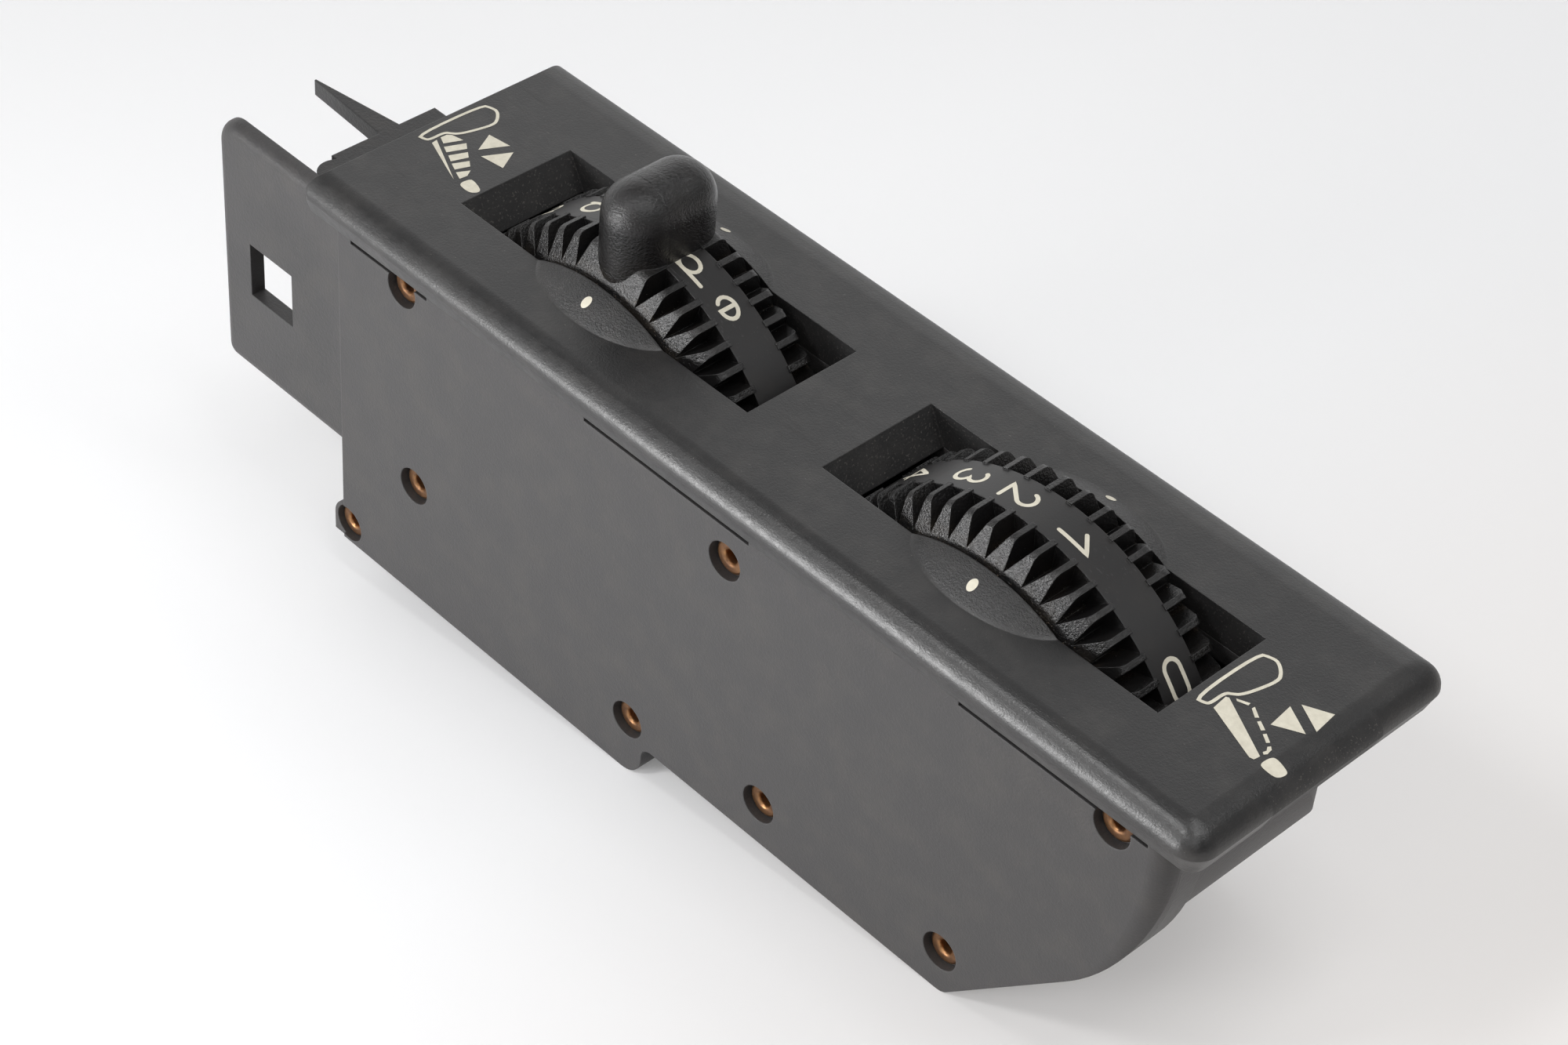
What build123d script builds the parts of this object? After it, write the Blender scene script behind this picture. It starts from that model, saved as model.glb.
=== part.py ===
from build123d import *
import math
import os

# Seat adjustment switch: two thumb wheels in a long bezel over a flat riveted body.
# Lengths are millimetres and angles are degrees. X runs along the bezel, Y across it, +Z is up.
# Every piece is drawn about the middle of the bezel's top face and set down on its foot at the end.

# Bezel plate
PLATE_LEFT = 62.4
PLATE_RIGHT = 63.6
PLATE_WIDTH = 36.3
PLATE_DEPTH = 4.2
PLATE_SKIN = 2.2
PLATE_RIM = 3.8
PLATE_CORNER = 2.7
PLATE_LEFT_CORNER = 0.5
PLATE_EDGE_ROUND = 1.9
PLATE_UNDERCUT = 0.9
PLATE_EDGE_LAND = 0.05
WINDOW_SLOPE = 28.7
WINDOW_FRAME = 1.6

# Humps beside each window
HUMP_TOP = 21.1
HUMP_MID = 20.3
HUMP_WIDTH = 3.9

# Thumb wheels
WHEEL_SPACING = 54.6
AXLE_DROP = 18.8
BAND_RADIUS = 24.0
BAND_WIDTH = 5.2
TOOTH_STAND = 0.2
TOOTH_OVERLAP = 0.25
TOOTH_CREST_WIDTH = 3.0
TOOTH_ROUND = 1.1
WHEEL_WIDTH = 14.2
SHOULDER_DROP = 3.8
GROOVE_RADIUS = 21.0
GROOVE_STEEP = 1.15
GROOVE_GENTLE = 3.65
SELECTOR_GROOVES = 58
SELECTOR_FIRST_GROOVE = 11.75
PRESSURE_GROOVES = 55
PRESSURE_FIRST_GROOVE = 3.7
PLAIN_ZONE = 9.0
RIM_INNER = 17.5
WEB_THICKNESS = 2.6
HUB_RADIUS = 4.6
SELECTOR_SWING = 31.5
PRESSURE_SWING_LOW = 50.0
PRESSURE_SWING_HIGH = 38.0
RIM_LEAD = 45.0
RIM_RAMP = 12.0
RIM_SHED = 4.0
RIM_STEPS = 4
SIDE_GAP = 0.52
WINDOW_END_GAP = 0.4
SWEEP_GAP = 0.6

# Selector lever
LEVER_THICKNESS = 8.2
LEVER_LENGTH = 13.3
LEVER_HEIGHT = 32.0
LEVER_ROOT = 19.4

# Body section, seen along Y
BODY_LEFT = 59.0
BODY_RIGHT = 59.5
BODY_DEPTH = 33.0
FOOT_DROP = 48.8
FOOT_RIGHT = 8.5
FOOT_ROUND = 3.0
STEP_DROP = 43.7
STEP_ROUND = 1.5
CORNER_ROUND = 2.0
NOSE_RADIUS = 30.0
NOSE_TOP_DROP = 8.0
NOSE_RIM_RADIUS = 42.7
NOSE_NEAR_ROUND = 2.2
NOSE_FAR_ROUND = 4.5

# Layers of the body, from the near face inwards
COVER_THICKNESS = 2.3
FRAME_THICKNESS = 3.3
SEAL_THICKNESS = 1.0
SEAL_INSET = 0.9
WALL = 2.2
SHELL_SET_BACK = 0.7
FAR_CORNER_RADIUS = 13.5
FAR_CORNER_BLEND = 0.05

# Notches in the near cover's top edge: left end and right end of each
NOTCHES = [(-56.8, -44.2), (-19.4, 4.8), (33.3, 57.0)]
NOTCH_DEPTH = 1.4
RIB_THICKNESS = 1.5

# Rivet places: distance from the nearest side or corner, then from the top or the floor
LEFT_TOP_RIVET = (10.7, 2.3)
LEFT_SIDE_RIVET = (12.6, 28.5)
MIDDLE_TOP_RIVET = (1.7, 5.6)
FOOT_RIVET = (2.4, 2.2)
FLOOR_RIVET = (9.1, 5.3)
CORNER_RIVET = (1.0, 5.3)
RIGHT_TOP_RIVET = (6.7, 2.1)

# Rivets and the counterbores that they sit in
RIVET_RADIUS = 1.6
RIVET_BORE = 0.8
RIVET_HEAD = 2.05
RIVET_HEAD_THICKNESS = 0.5
RIVET_HEAD_ROUND = 0.4
COUNTERBORE_RADIUS = 2.25
COUNTERBORE_DEPTH = 1.3
RIVET_PLAY = 0.05
PAD_RADIUS = 2.6
PAD_THICKNESS = 1.9
EAR_RADIUS = 2.75
EAR_SETBACK = 0.25
EAR_INSET = 0.9
EAR_HEIGHT = 2.5

# Tab of the latch frame
TAB_LENGTH = 24.5
TAB_THICKNESS = 1.85
TAB_TOP_DROP = 4.6
TAB_BOTTOM_DROP = 38.2
TAB_TOP_CORNER = 3.3
TAB_BOTTOM_CORNER = 1.8
TAB_EDGE_ROUND = 1.5
LATCH_WINDOW_SETBACK = 5.5
LATCH_WINDOW_WIDTH = 7.5
LATCH_WINDOW_DROP = 19.4
LATCH_WINDOW_HEIGHT = 7.2

# End block and its finger
BLOCK_LENGTH = 13.0
BLOCK_NEAR = -7.1
BLOCK_FAR = 7.5
BLOCK_TOP_DROP = 7.0
BLOCK_BOTTOM_DROP = 38.0
BLOCK_LOBE_RADIUS = 2.2
BLOCK_LOBE_SETBACK = 2.64
BLOCK_LOBE_STAND = 1.32
FINGER_LENGTH = 12.5
FINGER_NEAR = -0.4
FINGER_FAR = 3.1
FINGER_TIP = 0.8
FINGER_TIP_WIDTH = 0.9
FINGER_THICKNESS = 2.0
FINGER_BEVEL = 0.7

# Snap legs under the bezel
LEG_PLACES = [-54.0, 0.0, 54.0]
LEG_THICKNESS = 1.6
LEG_WIDTH = 8.0
LEG_DROP = 9.2
BARB = 0.8
LEG_PLAY = 0.3

# Axles, cams, plungers and springs
AXLE_RADIUS = 2.0
AXLE_PLAY = 0.05
AXLE_SEAT_DEPTH = 2.5
FRAME_BOSS_HEIGHT = 1.0
AXLE_BOSS_RADIUS = 4.2
SHELL_BOSS_HEIGHT = 1.8
WASHER_THICKNESS = 0.5
END_PLAY = 0.1
CAM_RADIUS = 9.0
CAM_SLOPE = 1.6
CAM_OVERRUN = 17.0
CAM_THICKNESS = 3.8
CAM_STEPS = 12
CAM_GAP = 0.3
KEY_WIDTH = 6.2
KEY_PLAY = 0.04
PLUNGER_INSET = 3.9
PLUNGER_FOOT = 2.6
PLUNGER_FOOT_THICKNESS = 1.2
STEM_RADIUS = 1.5
STEM_PLAY = 0.05
STEM_LENGTH = 7.6
SPRING_WIRE = 0.25
SPRING_RADIUS = 2.1
SPRING_TURNS = 4
SPRING_SEAT = 0.08

# Valve manifold, with its seals and hose nipples
MANIFOLD_TOP_DROP = 34.5
MANIFOLD_RIGHT = 33.5
MANIFOLD_SIDE_GAP = 0.8
MANIFOLD_FOOT_GAP = 1.8
MANIFOLD_HEAD_WIDTH = 4.6
MANIFOLD_HEAD_NEAR = -5.5
MANIFOLD_HEAD_TOP_DROP = 23.5
SEAL_RING_RADIUS = 2.7
SEAL_RING_HEIGHT = 1.2
SEAL_CAP_HEIGHT = 0.8
GALLERY_RADIUS = 1.0
GALLERY_DROP = 39.8
NIPPLE_RADIUS = 1.7
NIPPLE_BORE = 0.9
NIPPLE_BARB = 0.45
NIPPLE_BARBS = 3
NIPPLE_BARB_LENGTH = 1.6
NIPPLE_STAND = 6.0
NIPPLE_SEAT = 2.6
NIPPLE_PLAY = 0.05
NIPPLE_PLACES = [(-2.6, -26.5), (4.2, -26.5), (0.8, -33.5)]

# Detent of the selector wheel
DETENT_STEP = 15.6
DETENT_COUNT = 5
DETENT_CIRCLE = 18.9
DETENT_DIMPLE = 1.6
DETENT_DIMPLE_DEPTH = 0.7
BALL_RADIUS = 1.4
BALL_GAP = 0.15
BALL_PLAY = 0.05
DETENT_BOSS_RADIUS = 2.7
DETENT_BOSS_HEIGHT = 2.3
DETENT_SPRING_RADIUS = 1.0
DETENT_SPRING_WIRE = 0.2
DETENT_SPRING_TURNS = 4

# How far cutting shapes reach past what they cut
CUT_PAST = 1.0
FAR_PAST = 9.0

# Places worked out from the sizes above
NEAR_FACE = -BODY_DEPTH / 2
FAR_FACE = BODY_DEPTH / 2
FRAME_NEAR = NEAR_FACE + COVER_THICKNESS
SEAL_NEAR = FRAME_NEAR + FRAME_THICKNESS
SHELL_NEAR = SEAL_NEAR + SEAL_THICKNESS
PAD_FAR = SHELL_NEAR + PAD_THICKNESS
FAR_WALL = FAR_FACE - WALL
BODY_TOP = -PLATE_DEPTH
AXLE_Z = -AXLE_DROP
SELECTOR_X = -WHEEL_SPACING / 2
PRESSURE_X = WHEEL_SPACING / 2
WHEEL_SIDE = WHEEL_WIDTH / 2
WHEEL_RADIUS = BAND_RADIUS + TOOTH_STAND
WINDOW_SIDE = WHEEL_SIDE + SIDE_GAP
SHOULDER_END = WHEEL_RADIUS - SHOULDER_DROP
CHORD_DROP = AXLE_DROP - PLATE_DEPTH
WINDOW_BOTTOM = math.sqrt(WHEEL_RADIUS**2 - CHORD_DROP**2) + WINDOW_END_GAP
WINDOW_TOP = WINDOW_BOTTOM + PLATE_DEPTH * math.tan(math.radians(WINDOW_SLOPE))
NOSE_X = BODY_RIGHT - NOSE_RADIUS
NOSE_Z = -NOSE_TOP_DROP
SLOPE_TOP_X = NOSE_X + NOSE_RADIUS / math.sqrt(2)
SLOPE_TOP_Z = NOSE_Z - NOSE_RADIUS / math.sqrt(2)
CORNER_X = SLOPE_TOP_X - (STEP_DROP + SLOPE_TOP_Z)
SHELL_NOSE_RADIUS = NOSE_RADIUS - SHELL_SET_BACK
FLOOR_INNER = -STEP_DROP + WALL
FOOT_INNER = -FOOT_DROP + WALL
LEFT_INNER = -BODY_LEFT + WALL
CAM_NEAR = WHEEL_SIDE + 1.0
CAM_FAR = CAM_NEAR + CAM_THICKNESS
HUB_NEAR = SHELL_NEAR + WASHER_THICKNESS + END_PLAY
SHELL_BOSS_NEAR = FAR_WALL - SHELL_BOSS_HEIGHT
PLUNGER_Y = FAR_WALL - PLUNGER_INSET
CAM_CREST = CAM_SLOPE**2 / (2 * CAM_RADIUS)
PLUNGER_TOP = AXLE_Z - CAM_RADIUS - CAM_CREST - CAM_GAP
PLUNGER_NECK = PLUNGER_TOP - PLUNGER_FOOT_THICKNESS
MANIFOLD_TOP = -MANIFOLD_TOP_DROP
MANIFOLD_NEAR = WHEEL_SIDE + MANIFOLD_SIDE_GAP
DETENT_Z = AXLE_Z - DETENT_CIRCLE
BALL_Y = -WHEEL_SIDE - BALL_GAP - BALL_RADIUS
TAB_END = -BODY_LEFT - TAB_LENGTH
BLOCK_END = -BODY_LEFT - BLOCK_LENGTH
FINGER_END = BLOCK_END - FINGER_LENGTH
NIPPLE_END = BLOCK_END - NIPPLE_STAND
EAR_X = -BODY_LEFT + EAR_INSET
EAR_Z = -FOOT_DROP + EAR_HEIGHT

# Each rivet's place, and the way its pad in the main shell reaches to the nearest wall
RIVETS = [
    (-BODY_LEFT + LEFT_TOP_RIVET[0], BODY_TOP - LEFT_TOP_RIVET[1], "up"),
    (-BODY_LEFT + LEFT_SIDE_RIVET[0], BODY_TOP - LEFT_SIDE_RIVET[1], "left"),
    (EAR_X, EAR_Z, "down"),
    (MIDDLE_TOP_RIVET[0], BODY_TOP - MIDDLE_TOP_RIVET[1], "up"),
    (-FOOT_RIGHT - FOOT_RIVET[0], -STEP_DROP + FOOT_RIVET[1], "down"),
    (FLOOR_RIVET[0], -STEP_DROP + FLOOR_RIVET[1], "down"),
    (CORNER_X - CORNER_RIVET[0], -STEP_DROP + CORNER_RIVET[1], "down"),
    (BODY_RIGHT - RIGHT_TOP_RIVET[0], BODY_TOP - RIGHT_TOP_RIVET[1], "up"),
]


def polar(radius, angle):
    """Point on a wheel's side view: the angle is 0 straight up and grows towards +X."""
    turn = math.radians(angle)
    return (radius * math.sin(turn), radius * math.cos(turn))


def slab(sketch, near, far):
    """Solid between two depths, from a sketch whose own x and y are the object's X and Z."""
    side = Plane((0, far, 0), x_dir=(1, 0, 0), z_dir=(0, -1, 0))
    return extrude(side * sketch, far - near, dir=(0, -1, 0))


def box(x_low, x_high, y_low, y_high, z_low, z_high):
    middle = ((x_low + x_high) / 2, (y_low + y_high) / 2, (z_low + z_high) / 2)
    return Pos(*middle) * Box(x_high - x_low, y_high - y_low, z_high - z_low)


def rod_y(x, z, radius, near, far):
    return Pos(x, (near + far) / 2, z) * Rot(X=90) * Cylinder(radius, far - near)


def rod_z(x, y, radius, low, high):
    return Pos(x, y, (low + high) / 2) * Cylinder(radius, high - low)


def rod_x(y, z, radius, left, right):
    return Pos((left + right) / 2, y, z) * Rot(Y=90) * Cylinder(radius, right - left)


def coil(radius, wire, length, turns):
    """Compression spring that stands on the origin along +Z."""
    path = Helix(pitch=(length - 2 * wire) / turns, height=length - 2 * wire, radius=radius)
    start = Plane(origin=path @ 0, z_dir=path % 0)
    return Pos(0, 0, wire) * sweep(start * Circle(wire), path=path, is_frenet=True)


# Body layers

def body_outline(set_back=0.0):
    """Section of the body along Y: left side, foot, step, slope and round nose."""
    radius = NOSE_RADIUS - set_back
    slope_top = radius / math.sqrt(2)
    nose_start = (NOSE_X + slope_top, NOSE_Z - slope_top)
    nose_end = (NOSE_X + radius, NOSE_Z)
    corner_x = nose_start[0] - (STEP_DROP + nose_start[1])
    lines = [
        Polyline(
            nose_end,
            (NOSE_X + radius, BODY_TOP),
            (-BODY_LEFT, BODY_TOP),
            (-BODY_LEFT, -FOOT_DROP),
            (-FOOT_RIGHT, -FOOT_DROP),
            (-FOOT_RIGHT, -STEP_DROP),
            (corner_x, -STEP_DROP),
            nose_start,
        ),
        RadiusArc(nose_start, nose_end, -radius),
    ]
    face = make_face(lines)
    for x, z, corner_round in (
        (-FOOT_RIGHT, -FOOT_DROP, FOOT_ROUND),
        (-FOOT_RIGHT, -STEP_DROP, STEP_ROUND),
        (corner_x, -STEP_DROP, CORNER_ROUND),
    ):
        corner = face.vertices().sort_by_distance((x, z, 0))[0]
        face = fillet(corner, corner_round)
    return face


def nose_rim(set_back):
    """Disc whose rounded rims shape the near and far edges of the nose."""
    x = BODY_RIGHT - NOSE_RIM_RADIUS
    disc = rod_y(x, NOSE_Z, NOSE_RIM_RADIUS - set_back, NEAR_FACE, FAR_FACE)
    rims = disc.edges().filter_by(GeomType.CIRCLE).sort_by(Axis.Y)
    disc = fillet(rims[-1], NOSE_FAR_ROUND)
    rims = disc.edges().filter_by(GeomType.CIRCLE).sort_by(Axis.Y)
    return fillet(rims[0], NOSE_NEAR_ROUND)


def far_corner(inset):
    """What a round upright corner takes off the far right of the body, or of its inner room."""
    x = BODY_RIGHT - SHELL_SET_BACK - FAR_CORNER_RADIUS + FAR_CORNER_BLEND
    y = FAR_FACE - FAR_CORNER_RADIUS + FAR_CORNER_BLEND
    reach = FAR_CORNER_RADIUS + FAR_PAST
    square = box(x, x + reach, y, y + reach, -STEP_DROP - CUT_PAST, 0)
    return square - rod_z(x, y, FAR_CORNER_RADIUS - inset, -STEP_DROP - CUT_PAST, 0)


def body_block(set_back=0.0):
    """The whole body as one block, from which each layer is cut."""
    block = slab(body_outline(set_back), NEAR_FACE, FAR_FACE)
    beyond = box(
        BODY_RIGHT - NOSE_RIM_RADIUS,
        BODY_RIGHT + FAR_PAST,
        NEAR_FACE - CUT_PAST,
        FAR_FACE + CUT_PAST,
        -STEP_DROP - CUT_PAST,
        0,
    )
    return block - (beyond - nose_rim(set_back)) + ear()


def ear():
    """Lug at the lower left corner, round outside and flat below."""
    round_part = rod_y(EAR_X, EAR_Z, EAR_RADIUS, NEAR_FACE + EAR_SETBACK, PAD_FAR)
    lower = box(
        EAR_X - EAR_RADIUS, EAR_X, NEAR_FACE + EAR_SETBACK, PAD_FAR, -FOOT_DROP, EAR_Z
    )
    below = box(
        EAR_X - FAR_PAST,
        EAR_X + FAR_PAST,
        NEAR_FACE - CUT_PAST,
        FAR_FACE,
        -FOOT_DROP - FAR_PAST,
        -FOOT_DROP,
    )
    return round_part + lower - below


def layer(block, near, far):
    """The part of the body between two depths."""
    return block & box(-PLATE_LEFT - FAR_PAST, PLATE_RIGHT, near, far, -FOOT_DROP - CUT_PAST, 0)


def rivet_holes(near, far, radius):
    holes = [rod_y(x, z, radius, near, far) for x, z, _ in RIVETS]
    return Part() + holes


def near_cover(block):
    cover = layer(block, NEAR_FACE, FRAME_NEAR)
    cover -= rivet_holes(NEAR_FACE - CUT_PAST, FRAME_NEAR + CUT_PAST, RIVET_RADIUS + RIVET_PLAY)
    cover -= rivet_holes(NEAR_FACE - CUT_PAST, NEAR_FACE + COUNTERBORE_DEPTH, COUNTERBORE_RADIUS)
    for left, right in NOTCHES:
        cover -= box(
            left,
            right,
            NEAR_FACE - CUT_PAST,
            FRAME_NEAR + CUT_PAST,
            BODY_TOP - NOTCH_DEPTH,
            BODY_TOP + CUT_PAST,
        )
    return cover


def latch_tab():
    """Flat tab at the left end, its front edges rounded, with the square latch window."""
    tab = box(
        TAB_END,
        -BODY_LEFT,
        FRAME_NEAR,
        FRAME_NEAR + TAB_THICKNESS,
        -TAB_BOTTOM_DROP,
        -TAB_TOP_DROP,
    )
    ends = tab.edges().filter_by(Axis.Y).sort_by(Axis.X)[:2].sort_by(Axis.Z)
    tab = fillet(ends[0], TAB_BOTTOM_CORNER)
    ends = tab.edges().filter_by(Axis.Y).sort_by(Axis.Z)
    top_left = [edge for edge in ends if edge.center().X < -BODY_LEFT - CUT_PAST][-1]
    tab = fillet(top_left, TAB_TOP_CORNER)
    front = tab.faces().sort_by(Axis.Y)[0]
    rim = [edge for edge in front.edges() if edge.center().X < -BODY_LEFT - CUT_PAST]
    tab = fillet(rim, TAB_EDGE_ROUND)
    window = box(
        TAB_END + LATCH_WINDOW_SETBACK,
        TAB_END + LATCH_WINDOW_SETBACK + LATCH_WINDOW_WIDTH,
        FRAME_NEAR - CUT_PAST,
        FRAME_NEAR + TAB_THICKNESS + CUT_PAST,
        -LATCH_WINDOW_DROP - LATCH_WINDOW_HEIGHT,
        -LATCH_WINDOW_DROP,
    )
    return tab - window


def latch_frame(block):
    frame = layer(block, FRAME_NEAR, SEAL_NEAR) + latch_tab()
    for x in (SELECTOR_X, PRESSURE_X):
        frame += rod_y(x, AXLE_Z, AXLE_BOSS_RADIUS, SEAL_NEAR, SEAL_NEAR + FRAME_BOSS_HEIGHT)
        frame -= rod_y(
            x,
            AXLE_Z,
            AXLE_RADIUS + AXLE_PLAY,
            SEAL_NEAR - AXLE_SEAT_DEPTH,
            SEAL_NEAR + FRAME_BOSS_HEIGHT,
        )
    boss_end = SEAL_NEAR + DETENT_BOSS_HEIGHT
    frame += rod_y(SELECTOR_X, DETENT_Z, DETENT_BOSS_RADIUS, SEAL_NEAR, boss_end)
    frame -= rod_y(
        SELECTOR_X, DETENT_Z, BALL_RADIUS + BALL_PLAY, SEAL_NEAR - AXLE_SEAT_DEPTH, boss_end
    )
    return frame - rivet_holes(FRAME_NEAR - CUT_PAST, SEAL_NEAR + CUT_PAST, RIVET_RADIUS + RIVET_PLAY)


def body_seal():
    """Flat seal between the latch frame and the main shell, a little smaller than both."""
    sheet = offset(body_outline(), -SEAL_INSET, kind=Kind.INTERSECTION)
    seal = slab(sheet, SEAL_NEAR, SHELL_NEAR)
    seal -= rivet_holes(SEAL_NEAR - CUT_PAST, SHELL_NEAR + CUT_PAST, RIVET_RADIUS + RIVET_PLAY)
    for x in (SELECTOR_X, PRESSURE_X):
        seal -= rod_y(x, AXLE_Z, AXLE_BOSS_RADIUS + AXLE_PLAY, SEAL_NEAR, SHELL_NEAR)
    return seal - rod_y(SELECTOR_X, DETENT_Z, DETENT_BOSS_RADIUS + BALL_PLAY, SEAL_NEAR, SHELL_NEAR)


def rivet_pad(x, z, way):
    """Boss round a rivet hole, with a web that runs out through the nearest wall."""
    reach = BODY_LEFT
    web = {
        "up": box(x - PAD_RADIUS, x + PAD_RADIUS, SHELL_NEAR, PAD_FAR, z, z + reach),
        "down": box(x - PAD_RADIUS, x + PAD_RADIUS, SHELL_NEAR, PAD_FAR, z - reach, z),
        "left": box(x - reach, x, SHELL_NEAR, PAD_FAR, z - PAD_RADIUS, z + PAD_RADIUS),
    }[way]
    return rod_y(x, z, PAD_RADIUS, SHELL_NEAR, PAD_FAR) + web


def main_shell():
    """Deep far half of the body, open towards the seal and set back a little at the nose."""
    solid = layer(body_block(SHELL_SET_BACK) - far_corner(0), SHELL_NEAR, FAR_FACE)
    sheet = offset(body_outline(SHELL_SET_BACK), -WALL, kind=Kind.INTERSECTION)
    room = slab(sheet, SHELL_NEAR - CUT_PAST, FAR_WALL) - far_corner(WALL)
    shell = solid - room
    for x, z, way in RIVETS:
        shell += rivet_pad(x, z, way) & solid
    for x in (SELECTOR_X, PRESSURE_X):
        shell += rod_y(x, AXLE_Z, AXLE_BOSS_RADIUS, SHELL_BOSS_NEAR, FAR_WALL)
        shell -= rod_y(
            x,
            AXLE_Z,
            AXLE_RADIUS + AXLE_PLAY,
            SHELL_BOSS_NEAR,
            SHELL_BOSS_NEAR + AXLE_SEAT_DEPTH,
        )
        shell -= box(
            x - WINDOW_TOP, x + WINDOW_TOP, -WINDOW_SIDE, WINDOW_SIDE, BODY_TOP - WALL, BODY_TOP
        )
    for x in LEG_PLACES:
        shell -= leg_slot(x)
    for y, z in NIPPLE_PLACES:
        shell -= rod_x(y, z, NIPPLE_RADIUS + NIPPLE_PLAY, -BODY_LEFT - CUT_PAST, LEFT_INNER + CUT_PAST)
    tail_room = PAD_FAR + RIVET_HEAD_THICKNESS + RIVET_PLAY
    shell -= rivet_holes(PAD_FAR, tail_room, RIVET_HEAD + RIVET_PLAY)
    return shell - rivet_holes(SHELL_NEAR - CUT_PAST, PAD_FAR, RIVET_RADIUS + RIVET_PLAY)


def tubular_rivets():
    """Eight hollow rivets: a rolled head in each counterbore and a rolled tail behind its pad."""
    head = NEAR_FACE + COUNTERBORE_DEPTH - RIVET_HEAD_THICKNESS
    tail = PAD_FAR + RIVET_HEAD_THICKNESS
    rivets = []
    for x, z, _ in RIVETS:
        rivet = rod_y(x, z, RIVET_RADIUS, head, tail)
        rivet += rod_y(x, z, RIVET_HEAD, head, NEAR_FACE + COUNTERBORE_DEPTH)
        rivet += rod_y(x, z, RIVET_HEAD, PAD_FAR, tail)
        rivet -= rod_y(x, z, RIVET_BORE, head, tail)
        rims = rivet.edges().filter_by(GeomType.CIRCLE).sort_by(Axis.Y)
        rivet = fillet(rims[:2], RIVET_HEAD_ROUND)
        rivets.append(rivet)
    return rivets


# Bezel

def plate_plan(left_reach, corner):
    """The plate seen from above, with its four corners rounded."""
    length = left_reach + PLATE_RIGHT
    middle = (PLATE_RIGHT - left_reach) / 2
    return Pos(middle, 0) * RectangleRounded(length, PLATE_WIDTH, corner)


def plate():
    """Plate with a round edge on three sides, an undercut rim and a left end cut off square."""
    plan = plate_plan(PLATE_LEFT + FAR_PAST, PLATE_CORNER)
    edge_depth = PLATE_EDGE_ROUND + PLATE_EDGE_LAND
    upper = extrude(Pos(0, 0, -edge_depth) * plan, edge_depth)
    upper = fillet(upper.faces().sort_by(Axis.Z)[-1].edges(), PLATE_EDGE_ROUND)
    lower_depth = PLATE_DEPTH - edge_depth
    lean = math.degrees(math.atan(PLATE_UNDERCUT / lower_depth))
    lower = extrude(Pos(0, 0, -edge_depth) * plan, -lower_depth, taper=lean)
    end_cut = extrude(Pos(0, 0, -PLATE_DEPTH) * plate_plan(PLATE_LEFT, PLATE_LEFT_CORNER), PLATE_DEPTH)
    return (upper + lower) & end_cut


def window_cut(x):
    """Window with upright sides and sloping ends."""
    above = HUMP_TOP
    section = Polygon(
        (x - WINDOW_TOP, above),
        (x - WINDOW_TOP, 0),
        (x - WINDOW_BOTTOM, -PLATE_DEPTH),
        (x + WINDOW_BOTTOM, -PLATE_DEPTH),
        (x + WINDOW_TOP, 0),
        (x + WINDOW_TOP, above),
        align=None,
    )
    return slab(section, -WINDOW_SIDE, WINDOW_SIDE)


def hump(x):
    """The pair of humps beside a wheel: one convex surface about the wheel's axis, cut level."""
    start = WINDOW_SIDE
    end = WINDOW_SIDE + HUMP_WIDTH
    crown = ThreePointArc(
        (HUMP_TOP, start), (HUMP_MID, (start + end) / 2), (AXLE_DROP, end)
    )
    inner = AXLE_DROP - PLATE_SKIN
    rest = Polyline((AXLE_DROP, end), (inner, end), (inner, start), (HUMP_TOP, start))
    ring = revolve(make_face([crown, rest]), Axis.Y)
    pair = Part() + [ring, mirror(ring, Plane.XZ)]
    side = WINDOW_TOP
    level = box(-side, side, -PLATE_WIDTH, PLATE_WIDTH, AXLE_DROP - PLATE_SKIN / 2, HUMP_TOP + CUT_PAST)
    return Pos(x, 0, AXLE_Z) * (pair & level)


def plate_pocket():
    """Hollow underside of the plate, which leaves a rim and a frame round each window."""
    pocket = box(
        -PLATE_LEFT + PLATE_RIM,
        PLATE_RIGHT - PLATE_RIM,
        -PLATE_WIDTH / 2 + PLATE_RIM,
        PLATE_WIDTH / 2 - PLATE_RIM,
        -PLATE_DEPTH,
        -PLATE_SKIN,
    )
    side = WINDOW_SIDE + WINDOW_FRAME
    end = WINDOW_TOP + WINDOW_FRAME
    for x in (SELECTOR_X, PRESSURE_X):
        pocket -= box(x - end, x + end, -side, side, -PLATE_DEPTH, -PLATE_SKIN)
    return pocket


def snap_leg(x):
    """Leg with a barb that catches under the main shell's top wall."""
    half = LEG_THICKNESS / 2
    catch = BODY_TOP - WALL - LEG_PLAY
    section = Polygon(
        (x - half, -PLATE_SKIN),
        (x - half, -LEG_DROP),
        (x + half, -LEG_DROP),
        (x + half + BARB, catch),
        (x + half, catch),
        (x + half, -PLATE_SKIN),
        align=None,
    )
    return slab(section, -LEG_WIDTH / 2, LEG_WIDTH / 2)


def leg_slot(x):
    half = LEG_THICKNESS / 2
    side = LEG_WIDTH / 2 + LEG_PLAY
    return box(
        x - half - LEG_PLAY, x + half + BARB + LEG_PLAY, -side, side, BODY_TOP - WALL, BODY_TOP
    )


def locating_ribs():
    """Ribs under the near rim that drop into the cover's notches and clear the rivet heads."""
    near = NEAR_FACE + (COVER_THICKNESS - RIB_THICKNESS) / 2
    bites = rivet_holes(NEAR_FACE, FRAME_NEAR, COUNTERBORE_RADIUS + RIVET_PLAY)
    ribs = Part()
    for left, right in NOTCHES:
        ribs += box(
            left + LEG_PLAY,
            right - LEG_PLAY,
            near,
            near + RIB_THICKNESS,
            BODY_TOP - NOTCH_DEPTH + LEG_PLAY,
            -PLATE_SKIN,
        )
    return ribs - bites


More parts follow.
